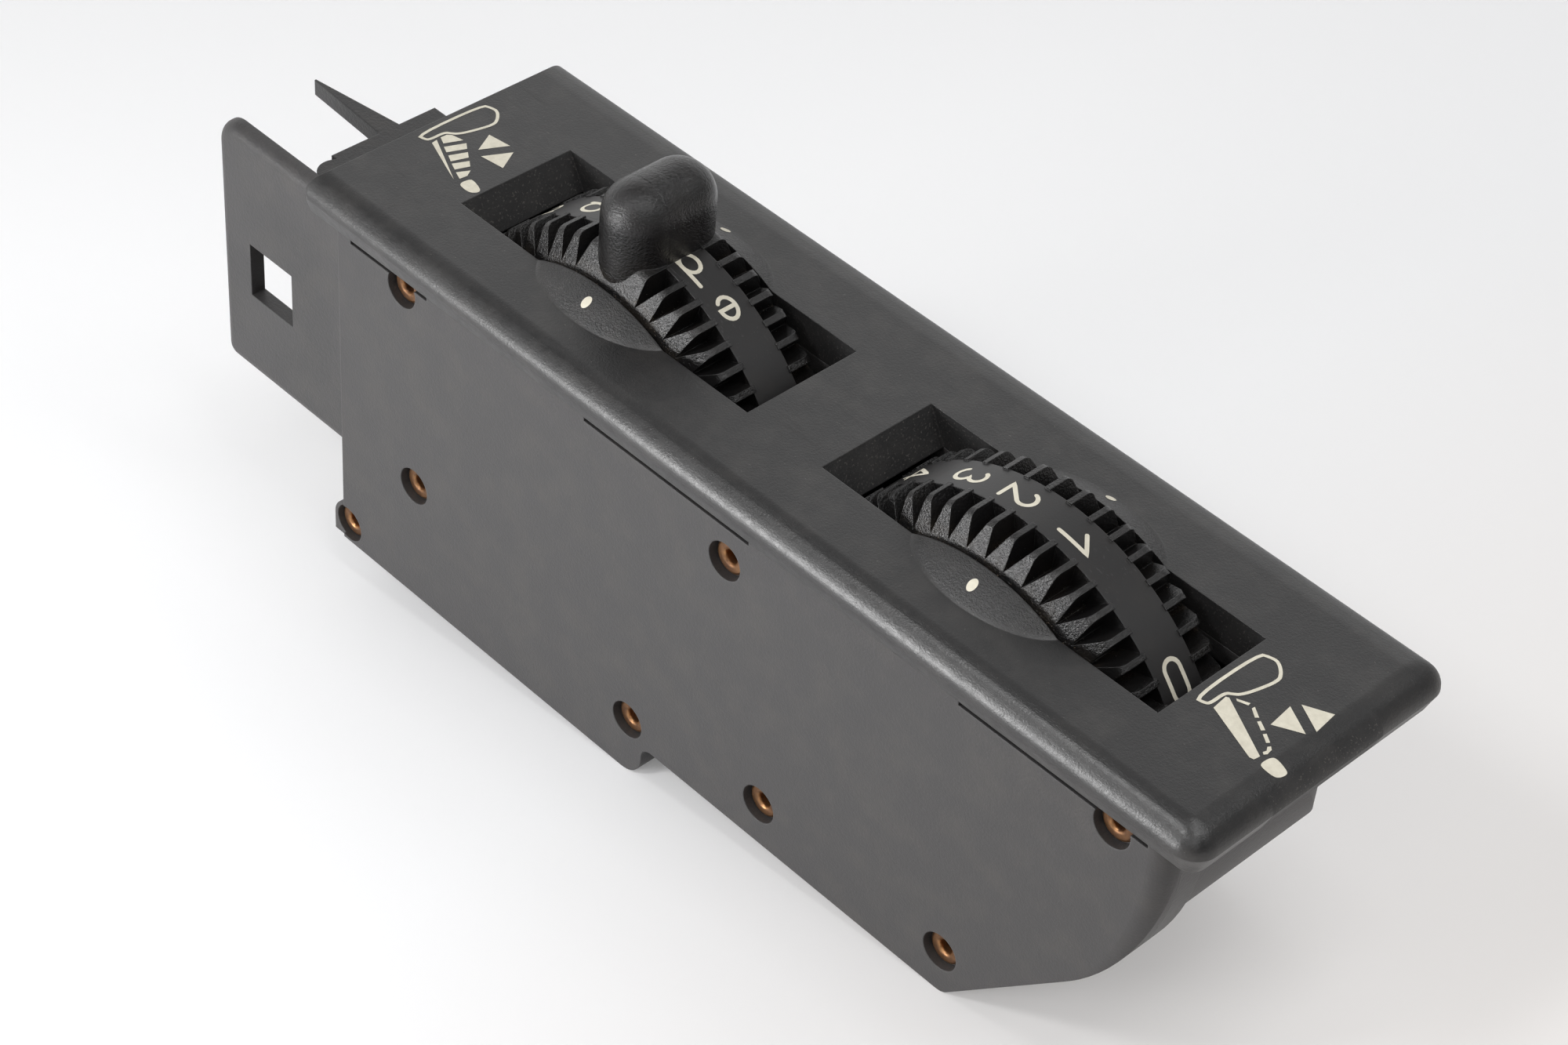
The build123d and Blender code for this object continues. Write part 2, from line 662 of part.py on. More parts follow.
def bezel():
    moulding = plate()
    for x in (SELECTOR_X, PRESSURE_X):
        moulding += hump(x)
    for x in (SELECTOR_X, PRESSURE_X):
        moulding -= window_cut(x)
    moulding -= plate_pocket()
    for x in LEG_PLACES:
        moulding += snap_leg(x)
    return moulding + locating_ribs()


# Thumb wheels, drawn about their own axle

def grooved_side_view(grooves, first, plain_from, plain_to):
    """Toothed outline whose notches have one steep and one gentle flank."""
    crest = WHEEL_RADIUS + CUT_PAST
    spread = (crest - GROOVE_RADIUS) / (BAND_RADIUS - GROOVE_RADIUS)
    points = []
    for index in range(grooves):
        bottom = (first + index * 360 / grooves + 180) % 360 - 180
        if plain_from < bottom < plain_to:
            continue
        points.append((bottom - GROOVE_STEEP * spread, crest))
        points.append((bottom, GROOVE_RADIUS))
        points.append((bottom + GROOVE_GENTLE * spread, crest))
    points.sort()
    return Polygon(*[polar(radius, angle) for angle, radius in points], align=None)


def shoulder_solid():
    """Plain wheel: a band between two raised crests, each with a round corner and a steep side."""
    inner = BAND_WIDTH / 2 - TOOTH_OVERLAP
    outer = inner + TOOTH_CREST_WIDTH
    half = [
        (0, WHEEL_SIDE),
        (SHOULDER_END, WHEEL_SIDE),
        (WHEEL_RADIUS, outer),
        (WHEEL_RADIUS, inner),
        (BAND_RADIUS, inner),
    ]
    other_half = [(radius, -depth) for radius, depth in reversed(half)]
    face = make_face(Polyline(*half, *other_half, close=True))
    for depth in (-outer, outer):
        corner = face.vertices().sort_by_distance((WHEEL_RADIUS, depth, 0))[0]
        face = fillet(corner, TOOTH_ROUND)
    return revolve(face, Axis.Y)


def grooved_wheel(grooves, first, plain_from=0.0, plain_to=0.0):
    solid = shoulder_solid()
    teeth = slab(grooved_side_view(grooves, first, plain_from, plain_to), -WHEEL_SIDE, WHEEL_SIDE)
    band = rod_y(0, 0, BAND_RADIUS, -BAND_WIDTH / 2, BAND_WIDTH / 2)
    return (solid & teeth) + band


def wheel_hub(wheel):
    """Hollows out both sides of a wheel and adds its hub, cam key and axle bore."""
    web = WEB_THICKNESS / 2
    wheel -= rod_y(0, 0, RIM_INNER, -WHEEL_SIDE, -web)
    wheel -= rod_y(0, 0, RIM_INNER, web, WHEEL_SIDE)
    wheel += rod_y(0, 0, HUB_RADIUS, HUB_NEAR, CAM_NEAR - END_PLAY)
    half = KEY_WIDTH / 2
    wheel += box(-half, half, 0, CAM_FAR, -half, half)
    return wheel - rod_y(0, 0, AXLE_RADIUS + AXLE_PLAY, HUB_NEAR - CUT_PAST, CAM_FAR + CUT_PAST)


def lever():
    """Upright grip with round ends and a domed top."""
    half = LEVER_THICKNESS / 2
    straight = LEVER_LENGTH / 2 - half
    dome = LEVER_HEIGHT - half
    grip = box(-half, half, -straight, straight, LEVER_ROOT, dome)
    grip += rod_y(0, dome, half, -straight, straight)
    for y in (-straight, straight):
        grip += rod_z(0, y, half, LEVER_ROOT, dome)
        grip += Pos(0, y, dome) * Sphere(half)
    return grip


def selector_wheel():
    wheel = grooved_wheel(
        SELECTOR_GROOVES, SELECTOR_FIRST_GROOVE, -PLAIN_ZONE, PLAIN_ZONE
    )
    wheel = wheel_hub(wheel) + lever()
    centre = -WHEEL_SIDE - DETENT_DIMPLE + DETENT_DIMPLE_DEPTH
    for index in range(DETENT_COUNT):
        angle = 180 + (index - (DETENT_COUNT - 1) / 2) * DETENT_STEP
        x, z = polar(DETENT_CIRCLE, angle)
        wheel -= Pos(x, centre, z) * Sphere(DETENT_DIMPLE)
    return wheel


def pressure_back_radius():
    """Radius that clears the body's slope and floor, whichever is nearer to the axle."""
    across = ((PRESSURE_X - NOSE_X) - (AXLE_Z - NOSE_Z)) / math.sqrt(2)
    to_slope = SHELL_NOSE_RADIUS - across
    to_floor = STEP_DROP - AXLE_DROP
    return min(to_slope, to_floor) - WALL - SWEEP_GAP


def full_rim_end():
    """Wheel angle at which the full rim has to stop, so that it clears the nose at the limit."""
    reach = WHEEL_RADIUS + SWEEP_GAP
    room = SHELL_NOSE_RADIUS - WALL
    offset_x = NOSE_X - PRESSURE_X
    offset_z = NOSE_Z - AXLE_Z
    distance = math.hypot(offset_x, offset_z)
    cosine = (reach**2 + distance**2 - room**2) / (2 * reach * distance)
    touch = math.degrees(math.atan2(offset_x, offset_z) + math.acos(cosine))
    return touch - PRESSURE_SWING_HIGH


def pressure_wheel():
    """Full rim only where it shows in the window; the rest is smaller, to clear the body."""
    wheel = grooved_wheel(PRESSURE_GROOVES, PRESSURE_FIRST_GROOVE)
    back = pressure_back_radius()
    end = full_rim_end()
    start = -PRESSURE_SWING_LOW - RIM_LEAD
    step = (end - RIM_SHED - start) / RIM_STEPS
    keep = [(0, 0)]
    keep += [polar(WHEEL_RADIUS * 2, start + step * index) for index in range(RIM_STEPS)]
    keep += [polar(WHEEL_RADIUS + CUT_PAST, end - RIM_SHED), polar(WHEEL_RADIUS, end)]
    keep += [polar(back, end + RIM_RAMP)]
    sector = slab(Polygon(*keep, align=None), -WHEEL_SIDE, WHEEL_SIDE)
    core = shoulder_solid() & rod_y(0, 0, back, -WHEEL_SIDE, WHEEL_SIDE)
    return wheel_hub((wheel & sector) + core)


def cam(swing_low, swing_high):
    """Disc whose edge rises evenly with the turn over the arc that faces the plunger."""
    first = 180 - swing_high - CAM_OVERRUN
    last = 180 + swing_low + CAM_OVERRUN
    step = (last - first) / CAM_STEPS
    angles = [first + step * index for index in range(CAM_STEPS + 1)]
    rise = [polar(CAM_RADIUS + CAM_SLOPE * math.radians(180 - a), a) for a in angles]
    low = CAM_RADIUS + CAM_SLOPE * math.radians(180 - last)
    step_foot = polar(low, first)
    back = polar(low, (first + last) / 2 + 180)
    face = make_face([
        Spline(*rise),
        ThreePointArc(rise[-1], back, step_foot),
        Line(step_foot, rise[0]),
    ])
    hole = Rectangle(KEY_WIDTH + 2 * KEY_PLAY, KEY_WIDTH + 2 * KEY_PLAY)
    return slab(face - hole, CAM_NEAR, CAM_FAR)


def on_axle(piece, x):
    return Pos(x, 0, AXLE_Z) * piece


# Small parts inside the body

def axle(x):
    near = SEAL_NEAR - AXLE_SEAT_DEPTH + END_PLAY
    far = SHELL_BOSS_NEAR + AXLE_SEAT_DEPTH - END_PLAY
    return rod_y(x, AXLE_Z, AXLE_RADIUS, near, far)


def thrust_washers():
    washers = []
    for x in (SELECTOR_X, PRESSURE_X):
        for near in (SHELL_NEAR, SHELL_BOSS_NEAR - WASHER_THICKNESS):
            far = near + WASHER_THICKNESS
            washer = rod_y(x, AXLE_Z, AXLE_BOSS_RADIUS, near, far)
            washers.append(washer - rod_y(x, AXLE_Z, AXLE_RADIUS + AXLE_PLAY, near, far))
    return washers


def plunger(x):
    """Flat follower under a cam, with a stem that dips into the manifold."""
    foot = rod_z(x, PLUNGER_Y, PLUNGER_FOOT, PLUNGER_NECK, PLUNGER_TOP)
    return foot + rod_z(x, PLUNGER_Y, STEM_RADIUS, PLUNGER_NECK - STEM_LENGTH, PLUNGER_NECK)


def plunger_spring(x):
    length = PLUNGER_NECK - MANIFOLD_TOP - 2 * SPRING_SEAT
    spring = coil(SPRING_RADIUS, SPRING_WIRE, length, SPRING_TURNS)
    return Pos(x, PLUNGER_Y, MANIFOLD_TOP + SPRING_SEAT) * spring


def gland_ring(x, low, height):
    ring = rod_z(x, PLUNGER_Y, SEAL_RING_RADIUS, low, low + height)
    return ring - rod_z(x, PLUNGER_Y, STEM_RADIUS + STEM_PLAY, low, low + height)


def plunger_seals():
    low = MANIFOLD_TOP - SEAL_CAP_HEIGHT - SEAL_RING_HEIGHT
    return [gland_ring(x, low, SEAL_RING_HEIGHT) for x in (SELECTOR_X, PRESSURE_X)]


def seal_caps():
    low = MANIFOLD_TOP - SEAL_CAP_HEIGHT
    return [gland_ring(x, low, SEAL_CAP_HEIGHT) for x in (SELECTOR_X, PRESSURE_X)]


def valve_manifold():
    """Block on the body's floor that carries both plunger glands, the air ways and the nipples."""
    left = LEFT_INNER
    head_right = left + MANIFOLD_HEAD_WIDTH
    foot_right = -FOOT_RIGHT - WALL - MANIFOLD_FOOT_GAP
    block = box(left, MANIFOLD_RIGHT, MANIFOLD_NEAR, FAR_WALL, FLOOR_INNER, MANIFOLD_TOP)
    block += box(left, foot_right, MANIFOLD_NEAR, FAR_WALL, FOOT_INNER, FLOOR_INNER)
    block += box(
        left, head_right, MANIFOLD_HEAD_NEAR, FAR_WALL, FLOOR_INNER, -MANIFOLD_HEAD_TOP_DROP
    )
    gland_low = MANIFOLD_TOP - SEAL_CAP_HEIGHT - SEAL_RING_HEIGHT
    for x in (SELECTOR_X, PRESSURE_X):
        block -= rod_z(x, PLUNGER_Y, SEAL_RING_RADIUS, gland_low, MANIFOLD_TOP)
        block -= rod_z(x, PLUNGER_Y, STEM_RADIUS + STEM_PLAY, -GALLERY_DROP, MANIFOLD_TOP)
    riser = left + NIPPLE_SEAT
    block -= rod_x(PLUNGER_Y, -GALLERY_DROP, GALLERY_RADIUS, riser, PRESSURE_X)
    for y, z in NIPPLE_PLACES:
        block -= rod_x(y, z, NIPPLE_RADIUS, left, riser)
        block -= rod_z(riser, y, NIPPLE_BORE, -GALLERY_DROP, z)
        block -= rod_y(riser, -GALLERY_DROP, NIPPLE_BORE, y, PLUNGER_Y)
    return block


def hose_nipples():
    """Three barbed tubes that stand out of the manifold through the left wall."""
    left = NIPPLE_END
    right = LEFT_INNER + NIPPLE_SEAT
    nipples = []
    for y, z in NIPPLE_PLACES:
        tube = rod_x(y, z, NIPPLE_RADIUS, left, right)
        for index in range(NIPPLE_BARBS):
            x = left + NIPPLE_BARB_LENGTH * (index + 0.5)
            barb = Cone(NIPPLE_RADIUS, NIPPLE_RADIUS + NIPPLE_BARB, NIPPLE_BARB_LENGTH)
            tube += Pos(x, y, z) * Rot(Y=90) * barb
        nipples.append(tube - rod_x(y, z, NIPPLE_BORE, left, right))
    return nipples


def end_block():
    """Guard round the nipples at the left end, with its locating finger."""
    block = box(
        BLOCK_END,
        -BODY_LEFT,
        BLOCK_NEAR,
        BLOCK_FAR,
        -BLOCK_BOTTOM_DROP,
        -BLOCK_TOP_DROP,
    )
    block += rod_z(
        BLOCK_END + BLOCK_LOBE_SETBACK,
        BLOCK_NEAR - BLOCK_LOBE_STAND,
        BLOCK_LOBE_RADIUS,
        -BLOCK_BOTTOM_DROP,
        -BLOCK_TOP_DROP,
    )
    for y, z in NIPPLE_PLACES:
        block -= rod_x(y, z, NIPPLE_RADIUS + NIPPLE_PLAY, BLOCK_END, -BODY_LEFT)
    return block + finger()


def finger():
    plan = Polygon(
        (BLOCK_END, FINGER_NEAR),
        (BLOCK_END, FINGER_FAR),
        (FINGER_END, FINGER_TIP + FINGER_TIP_WIDTH / 2),
        (FINGER_END, FINGER_TIP - FINGER_TIP_WIDTH / 2),
        align=None,
    )
    bar = extrude(Pos(0, 0, -BLOCK_TOP_DROP - FINGER_THICKNESS) * plan, FINGER_THICKNESS)
    top = bar.faces().sort_by(Axis.Z)[-1]
    far_edge = top.edges().sort_by(Axis.Y)[-1]
    return chamfer(far_edge, FINGER_BEVEL)


def detent_ball():
    return Pos(SELECTOR_X, BALL_Y, DETENT_Z) * Sphere(BALL_RADIUS)


def detent_spring():
    start = SEAL_NEAR - AXLE_SEAT_DEPTH + SPRING_SEAT
    length = BALL_Y - BALL_RADIUS - SPRING_SEAT - start
    spring = coil(DETENT_SPRING_RADIUS, DETENT_SPRING_WIRE, length, DETENT_SPRING_TURNS)
    return Pos(SELECTOR_X, start, DETENT_Z) * Rot(X=-90) * spring


def build_nodes():
    block = body_block()
    return {
        "bezel": bezel(),
        "near_cover": near_cover(block),
        "latch_frame": latch_frame(block),
        "body_seal": body_seal(),
        "main_shell": main_shell(),
        "end_block": end_block(),
        "tubular_rivets": tubular_rivets(),
        "selector_axle": axle(SELECTOR_X),
        "pressure_axle": axle(PRESSURE_X),
        "thrust_washers": thrust_washers(),
        "valve_manifold": valve_manifold(),
        "plunger_seals": plunger_seals(),
        "seal_caps": seal_caps(),
        "hose_nipples": hose_nipples(),
        "selector_detent_ball": detent_ball(),
        "selector_detent_spring": detent_spring(),
        "selector_plunger_spring": plunger_spring(SELECTOR_X),
        "pressure_plunger_spring": plunger_spring(PRESSURE_X),
        "selector_wheel": on_axle(selector_wheel(), SELECTOR_X),
        "selector_cam": on_axle(cam(SELECTOR_SWING, SELECTOR_SWING), SELECTOR_X),
        "selector_plunger": plunger(SELECTOR_X),
        "pressure_wheel": on_axle(pressure_wheel(), PRESSURE_X),
        "pressure_cam": on_axle(cam(PRESSURE_SWING_LOW, PRESSURE_SWING_HIGH), PRESSURE_X),
        "pressure_plunger": plunger(PRESSURE_X),
    }


def write_nodes(nodes):
    """Sets every node down with the foot at z = 0 and the whole length centred on x = 0."""
    os.makedirs("parts", exist_ok=True)
    leftmost = min(FINGER_END, TAB_END, NIPPLE_END)
    place = Pos(-(leftmost + PLATE_RIGHT) / 2, 0, FOOT_DROP)
    for name, piece in nodes.items():
        solids = piece if isinstance(piece, list) else [piece]
        placed = [place * solid for solid in solids]
        shape = placed[0] if len(placed) == 1 else Compound(children=placed)
        export_step(shape, os.path.join("parts", name + ".step"))


write_nodes(build_nodes())
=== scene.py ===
import math

import bmesh
import bpy
from mathutils import Matrix, Vector


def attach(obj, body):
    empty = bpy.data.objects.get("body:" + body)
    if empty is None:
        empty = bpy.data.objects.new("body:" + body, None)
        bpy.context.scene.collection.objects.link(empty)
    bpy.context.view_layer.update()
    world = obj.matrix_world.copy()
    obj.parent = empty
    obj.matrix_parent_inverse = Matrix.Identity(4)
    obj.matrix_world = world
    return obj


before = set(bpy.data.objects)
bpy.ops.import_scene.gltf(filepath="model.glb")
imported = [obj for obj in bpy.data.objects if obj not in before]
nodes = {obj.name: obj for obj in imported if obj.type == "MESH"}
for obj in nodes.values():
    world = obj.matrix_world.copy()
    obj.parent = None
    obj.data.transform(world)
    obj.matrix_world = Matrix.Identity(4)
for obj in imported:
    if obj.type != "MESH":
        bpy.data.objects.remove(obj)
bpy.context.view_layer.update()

# Places are given in millimetres about the middle of the bezel's top face,
# and at() moves them to the row frame.
MM = 0.001
BEZEL_X = 10.45
BEZEL_TOP = 48.8

# Bezel: its long edge and round end, the windows, where the near edge is rubbed smoother,
# and the band along the rim that is crowned
BEZEL_EDGE = 18.15
BEZEL_END = 63.6
WINDOW_SIDE = 7.9
RUBBED_START = -15.2
RUBBED_FULL = -16.4
CROWN_HEIGHT = 0.0012
CROWN_WIDTH = 3.5
CROWN_MARGIN = 0.15
FAR_SIDE_LEVEL = 0.6

# Thumb wheels
SELECTOR_X = -27.3
PRESSURE_X = 27.3
AXLE_Z = -18.8
BAND_RADIUS = 24.0
BAND_SIDE = 2.6
GROOVE_START = 1.7
GROOVE_FLOOR = 3.2
LEVER_SEAM = 2.0
LEVER_FOOT = 0.052

# Humps beside the wheels: three pairs of radius about the axle and distance from the middle
HUMP_CROWN = ((21.1, 7.62), (20.3, 9.57), (18.8, 11.52))

# How far printed marks stand proud of the plastic
INK = 0.02


def at(x, y, z):
    """A place in the row frame, in metres, from millimetres about the bezel's middle."""
    return Vector(((x + BEZEL_X) * MM, y * MM, (z + BEZEL_TOP) * MM))


# Node wiring

class Wiring:
    """Short calls that add and join the nodes of one material or one shared group."""

    def __init__(self, tree):
        self.tree = tree

    def add(self, kind, inputs=None, **settings):
        node = self.tree.nodes.new(kind)
        for name, value in settings.items():
            setattr(node, name, value)
        for key, value in (inputs or {}).items():
            self.feed(node.inputs[key], value)
        return node

    def feed(self, socket, value):
        if isinstance(value, bpy.types.NodeSocket):
            self.tree.links.new(value, socket)
        else:
            socket.default_value = value

    def math(self, operation, first, second=0.0, clamp=False):
        node = self.add("ShaderNodeMath", {0: first, 1: second}, operation=operation)
        node.use_clamp = clamp
        return node.outputs[0]

    def span(self, value, low, high, to_low=0.0, to_high=1.0):
        """The value mapped from one span to another and held inside it."""
        settings = {"From Min": low, "From Max": high, "To Min": to_low, "To Max": to_high}
        return self.add("ShaderNodeMapRange", {"Value": value, **settings}).outputs[0]

    def ease(self, value, low, high):
        """Like span from 0 to 1, with a soft start and end."""
        inputs = {"Value": value, "From Min": low, "From Max": high}
        return self.add("ShaderNodeMapRange", inputs, interpolation_type="SMOOTHSTEP").outputs[0]

    def blend(self, share, first, second):
        node = self.add("ShaderNodeMix", {0: share}, data_type="RGBA")
        self.feed(node.inputs[6], first)
        self.feed(node.inputs[7], second)
        return node.outputs[2]

    def noise(self, vector, scale, detail=3.0, roughness=0.55):
        settings = {"Vector": vector, "Scale": scale, "Detail": detail, "Roughness": roughness}
        return self.add("ShaderNodeTexNoise", settings).outputs[0]

    def stretched(self, vector, sizes, turn=(0.0, 0.0, 0.0)):
        settings = {"Vector": vector, "Rotation": turn, "Scale": sizes}
        return self.add("ShaderNodeMapping", settings).outputs[0]

    def place(self):
        return self.add("ShaderNodeTexCoord").outputs["Object"]


def grey(level):
    """A dark grey that is a touch warm."""
    return (level, level * 0.955, level * 0.97, 1.0)


def shared_group(name, takes, gives):
    """An empty shader group with named inputs and outputs, and the nodes at its two ends."""
    tree = bpy.data.node_groups.new(name, "ShaderNodeTree")
    for label, kind in takes:
        tree.interface.new_socket(label, in_out="INPUT", socket_type=kind)
    for label, kind in gives:
        tree.interface.new_socket(label, in_out="OUTPUT", socket_type=kind)
    wiring = Wiring(tree)
    start = wiring.add("NodeGroupInput")
    end = wiring.add("NodeGroupOutput")
    return wiring, start.outputs, end.inputs


VALUE = "NodeSocketFloat"
VECTOR = "NodeSocketVector"


def moulded_grain_group():
    """Leather-like grain of a mould: small cells, broken up by a finer noise."""
    w, take, give = shared_group(
        "moulded_grain",
        [("Place", VECTOR), ("Cells", VALUE)],
        [("Height", VALUE), ("Mottle", VALUE)],
    )
    cells = w.add(
        "ShaderNodeTexVoronoi",
        {"Vector": take["Place"], "Scale": take["Cells"], "Smoothness": 0.6},
        feature="SMOOTH_F1",
    ).outputs["Distance"]
    finer = w.noise(take["Place"], w.math("MULTIPLY", take["Cells"], 2.3), 2.0)
    w.feed(give["Height"], w.math("ADD", w.math("MULTIPLY", cells, -0.7), finer))
    w.feed(give["Mottle"], w.span(w.noise(take["Place"], 90.0, 5.0, 0.6), 0.3, 0.7))
    return w.tree


def dust_group():
    """Loose specks and a thin film of dust."""
    w, take, give = shared_group(
        "loose_dust",
        [("Place", VECTOR), ("Specks", VALUE), ("Amount", VALUE)],
        [("Mask", VALUE)],
    )
    specks = w.noise(take["Place"], take["Specks"], 2.0, 0.5)
    edge = w.span(take["Amount"], 0.0, 1.0, 0.76, 0.5)
    spots = w.span(w.math("SUBTRACT", specks, edge), 0.0, 0.03)
    film = w.span(w.noise(take["Place"], 260.0, 4.0, 0.6), 0.45, 0.75)
    both = w.math("ADD", spots, w.math("MULTIPLY", film, 0.25), clamp=True)
    w.feed(give["Mask"], w.math("MULTIPLY", both, w.span(take["Amount"], 0.0, 0.15), clamp=True))
    return w.tree


def soft_edges_highlight_group():
    """Softened edges: the normal that runs round them, and a mask of where they are, which the
    finishes use to paint a highlight along the edges.
    """
    w, take, give = shared_group(
        "soft_edges_highlight", [("Round", VALUE)], [("Normal", VECTOR), ("Edge", VALUE)]
    )
    bevel = w.add("ShaderNodeBevel", {"Radius": take["Round"]}, samples=6)
    flat = w.add("ShaderNodeNewGeometry").outputs["Normal"]
    along = w.add("ShaderNodeVectorMath", {0: bevel.outputs[0], 1: flat}, operation="DOT_PRODUCT")
    w.feed(give["Normal"], bevel.outputs[0])
    w.feed(give["Edge"], w.span(along.outputs["Value"], 0.995, 0.8))
    return w.tree


def fine_scratch_group():
    """Hairline scratches that cross each other at two angles."""
    w, take, give = shared_group(
        "fine_scratches",
        [("Place", VECTOR), ("Scale", VALUE), ("Amount", VALUE)],
        [("Mask", VALUE)],
    )
    marks = []
    for turn in ((0.3, 0.5, 0.6), (1.1, -0.4, -0.5)):
        drawn = w.stretched(take["Place"], (1.0, 14.0, 14.0), turn)
        marks.append(w.span(w.noise(drawn, take["Scale"], 2.0, 0.5), 0.66, 0.7))
    where = w.span(w.noise(take["Place"], 120.0, 3.0), 0.5, 0.6)
    crossed = w.math("MAXIMUM", marks[0], marks[1])
    local = w.math("MULTIPLY", crossed, where)
    w.feed(give["Mask"], w.math("MULTIPLY", local, take["Amount"], clamp=True))
    return w.tree


def rim_depth_group():
    """How deep a point lies below a wheel's rim, in millimetres, and how far it is off the band."""
    w, take, give = shared_group(
        "rim_depth",
        [("Place", VECTOR), ("Axle X", VALUE)],
        [("Depth", VALUE), ("Off band", VALUE)],
    )
    parts = w.add("ShaderNodeSeparateXYZ", {0: take["Place"]}).outputs
    x = w.math("SUBTRACT", w.math("MULTIPLY", parts[0], 1000.0), take["Axle X"])
    z = w.math("SUBTRACT", w.math("MULTIPLY", parts[2], 1000.0), BEZEL_TOP + AXLE_Z)
    square = w.math("ADD", w.math("MULTIPLY", x, x), w.math("MULTIPLY", z, z))
    w.feed(give["Depth"], w.math("SUBTRACT", BAND_RADIUS, w.math("SQRT", square)))
    across = w.math("MULTIPLY", w.math("ABSOLUTE", parts[1]), 1000.0)
    w.feed(give["Off band"], w.math("SUBTRACT", across, BAND_SIDE))
    return w.tree


GRAIN = moulded_grain_group()
DUST = dust_group()
EDGES = soft_edges_highlight_group()
SCRATCHES = fine_scratch_group()
RIM_DEPTH = rim_depth_group()


# Finishes

def finish(name):
    """A new material with its wiring and its shader."""
    material = bpy.data.materials.new(name)
    material.use_nodes = True
    wiring = Wiring(material.node_tree)
    shader = material.node_tree.nodes["Principled BSDF"]
    return material, wiring, shader


def grouped(w, tree, inputs):
    """A shared group placed in a material with its own values."""
    node = w.add("ShaderNodeGroup", node_tree=tree)
    for key, value in inputs.items():
        w.feed(node.inputs[key], value)
    return node.outputs


def raised(w, height, depth, normal=None, strength=1.0):
    """A normal with bumps of this height, in metres."""
    inputs = {"Height": height, "Distance": depth, "Strength": strength}
    if normal is not None:
        inputs["Normal"] = normal
    return w.add("ShaderNodeBump", inputs).outputs[0]


def moulded_plastic(
    name, level, rough, cells=1800.0, depth=0.00004, edge=0.00015, dust=0.1, edge_highlight=0.03, mottle=0.25
):
    """Black or dark moulded plastic with grain, softened edges with a painted highlight along them,
    and a little dust.
    """
    material, w, shader = finish(name)
    place = w.place()
    grain = grouped(w, GRAIN, {"Place": place, "Cells": cells})
    edges = grouped(w, EDGES, {"Round": edge})
    specks = grouped(w, DUST, {"Place": place, "Specks": 3400.0, "Amount": dust})
    colour = w.blend(grain["Mottle"], grey(level * (1 - mottle)), grey(level * (1 + mottle)))
    # Painted highlight: a lighter grey along the softened edges.
    colour = w.blend(w.math("MULTIPLY", edges["Edge"], 0.35), colour, grey(level + edge_highlight))
    colour = w.blend(w.math("MULTIPLY", specks["Mask"], 0.5), colour, (0.2, 0.18, 0.15, 1.0))
    w.feed(shader.inputs["Base Color"], colour)
    uneven = w.span(grain["Mottle"], 0.0, 1.0, rough - 0.04, rough + 0.05)
    duller = w.math("MULTIPLY", specks["Mask"], 0.2)
    w.feed(shader.inputs["Roughness"], w.math("ADD", uneven, duller))
    w.feed(shader.inputs["Normal"], raised(w, grain["Height"], depth, edges["Normal"]))
    return material


def bezel_plastic():
    """Satin black: matt dusty window walls, shinier humps, and a near edge rubbed smoother."""
    material, w, shader = finish("bezel_satin_black")
    place = w.place()
    parts = w.add("ShaderNodeSeparateXYZ", {0: place}).outputs
    height = w.math("SUBTRACT", w.math("MULTIPLY", parts[2], 1000.0), BEZEL_TOP)
    across = w.math("MULTIPLY", parts[1], 1000.0)
    on_hump = w.span(height, 0.05, 0.4)
    in_window = w.math(
        "MULTIPLY",
        w.span(height, -0.05, -0.3),
        w.span(w.math("ABSOLUTE", across), WINDOW_SIDE, WINDOW_SIDE - 0.2),
    )
    near_edge = w.span(across, RUBBED_START, RUBBED_FULL)
    grain = grouped(w, GRAIN, {"Place": place, "Cells": 3600.0})
    edges = grouped(w, EDGES, {"Round": 0.00016})
    dust_amount = w.math("ADD", w.math("MULTIPLY", in_window, 0.42), 0.1)
    specks = grouped(w, DUST, {"Place": place, "Specks": 3800.0, "Amount": dust_amount})
    scuffs = grouped(w, SCRATCHES, {"Place": place, "Scale": 70.0, "Amount": 0.5})
    colour = w.blend(grain["Mottle"], grey(0.010), grey(0.015))
    # Painted highlight: a lighter grey along the softened edges.
    colour = w.blend(w.math("MULTIPLY", edges["Edge"], 0.3), colour, grey(0.09))
    colour = w.blend(w.math("MULTIPLY", specks["Mask"], 0.4), colour, (0.24, 0.22, 0.2, 1.0))
    colour = w.blend(w.math("MULTIPLY", in_window, 0.4), colour, grey(0.012))
    w.feed(shader.inputs["Base Color"], colour)
    rubbed = w.span(w.noise(place, 900.0, 3.0, 0.6), 0.35, 0.65, -0.08, 0.0)
    rough = w.math("ADD", 0.4, w.math("MULTIPLY", rubbed, near_edge))
    rough = w.math("SUBTRACT", rough, w.math("MULTIPLY", on_hump, 0.06))
    rough = w.math("ADD", rough, w.math("MULTIPLY", in_window, 0.2))
    rough = w.math("ADD", rough, w.math("MULTIPLY", scuffs["Mask"], 0.15))
    w.feed(shader.inputs["Roughness"], rough)
    shader.inputs["Specular IOR Level"].default_value = 0.7
    depth = w.math("ADD", w.math("MULTIPLY", on_hump, 1.2), 0.4)
    depth = w.math("SUBTRACT", depth, w.math("MULTIPLY", near_edge, 0.15))
    bumps = w.math("MULTIPLY", grain["Height"], depth)
    crowned = raised(w, bezel_crown(w, parts[0], across), CROWN_HEIGHT, edges["Normal"])
    w.feed(shader.inputs["Normal"], raised(w, bumps, 0.00006, crowned))
    return material


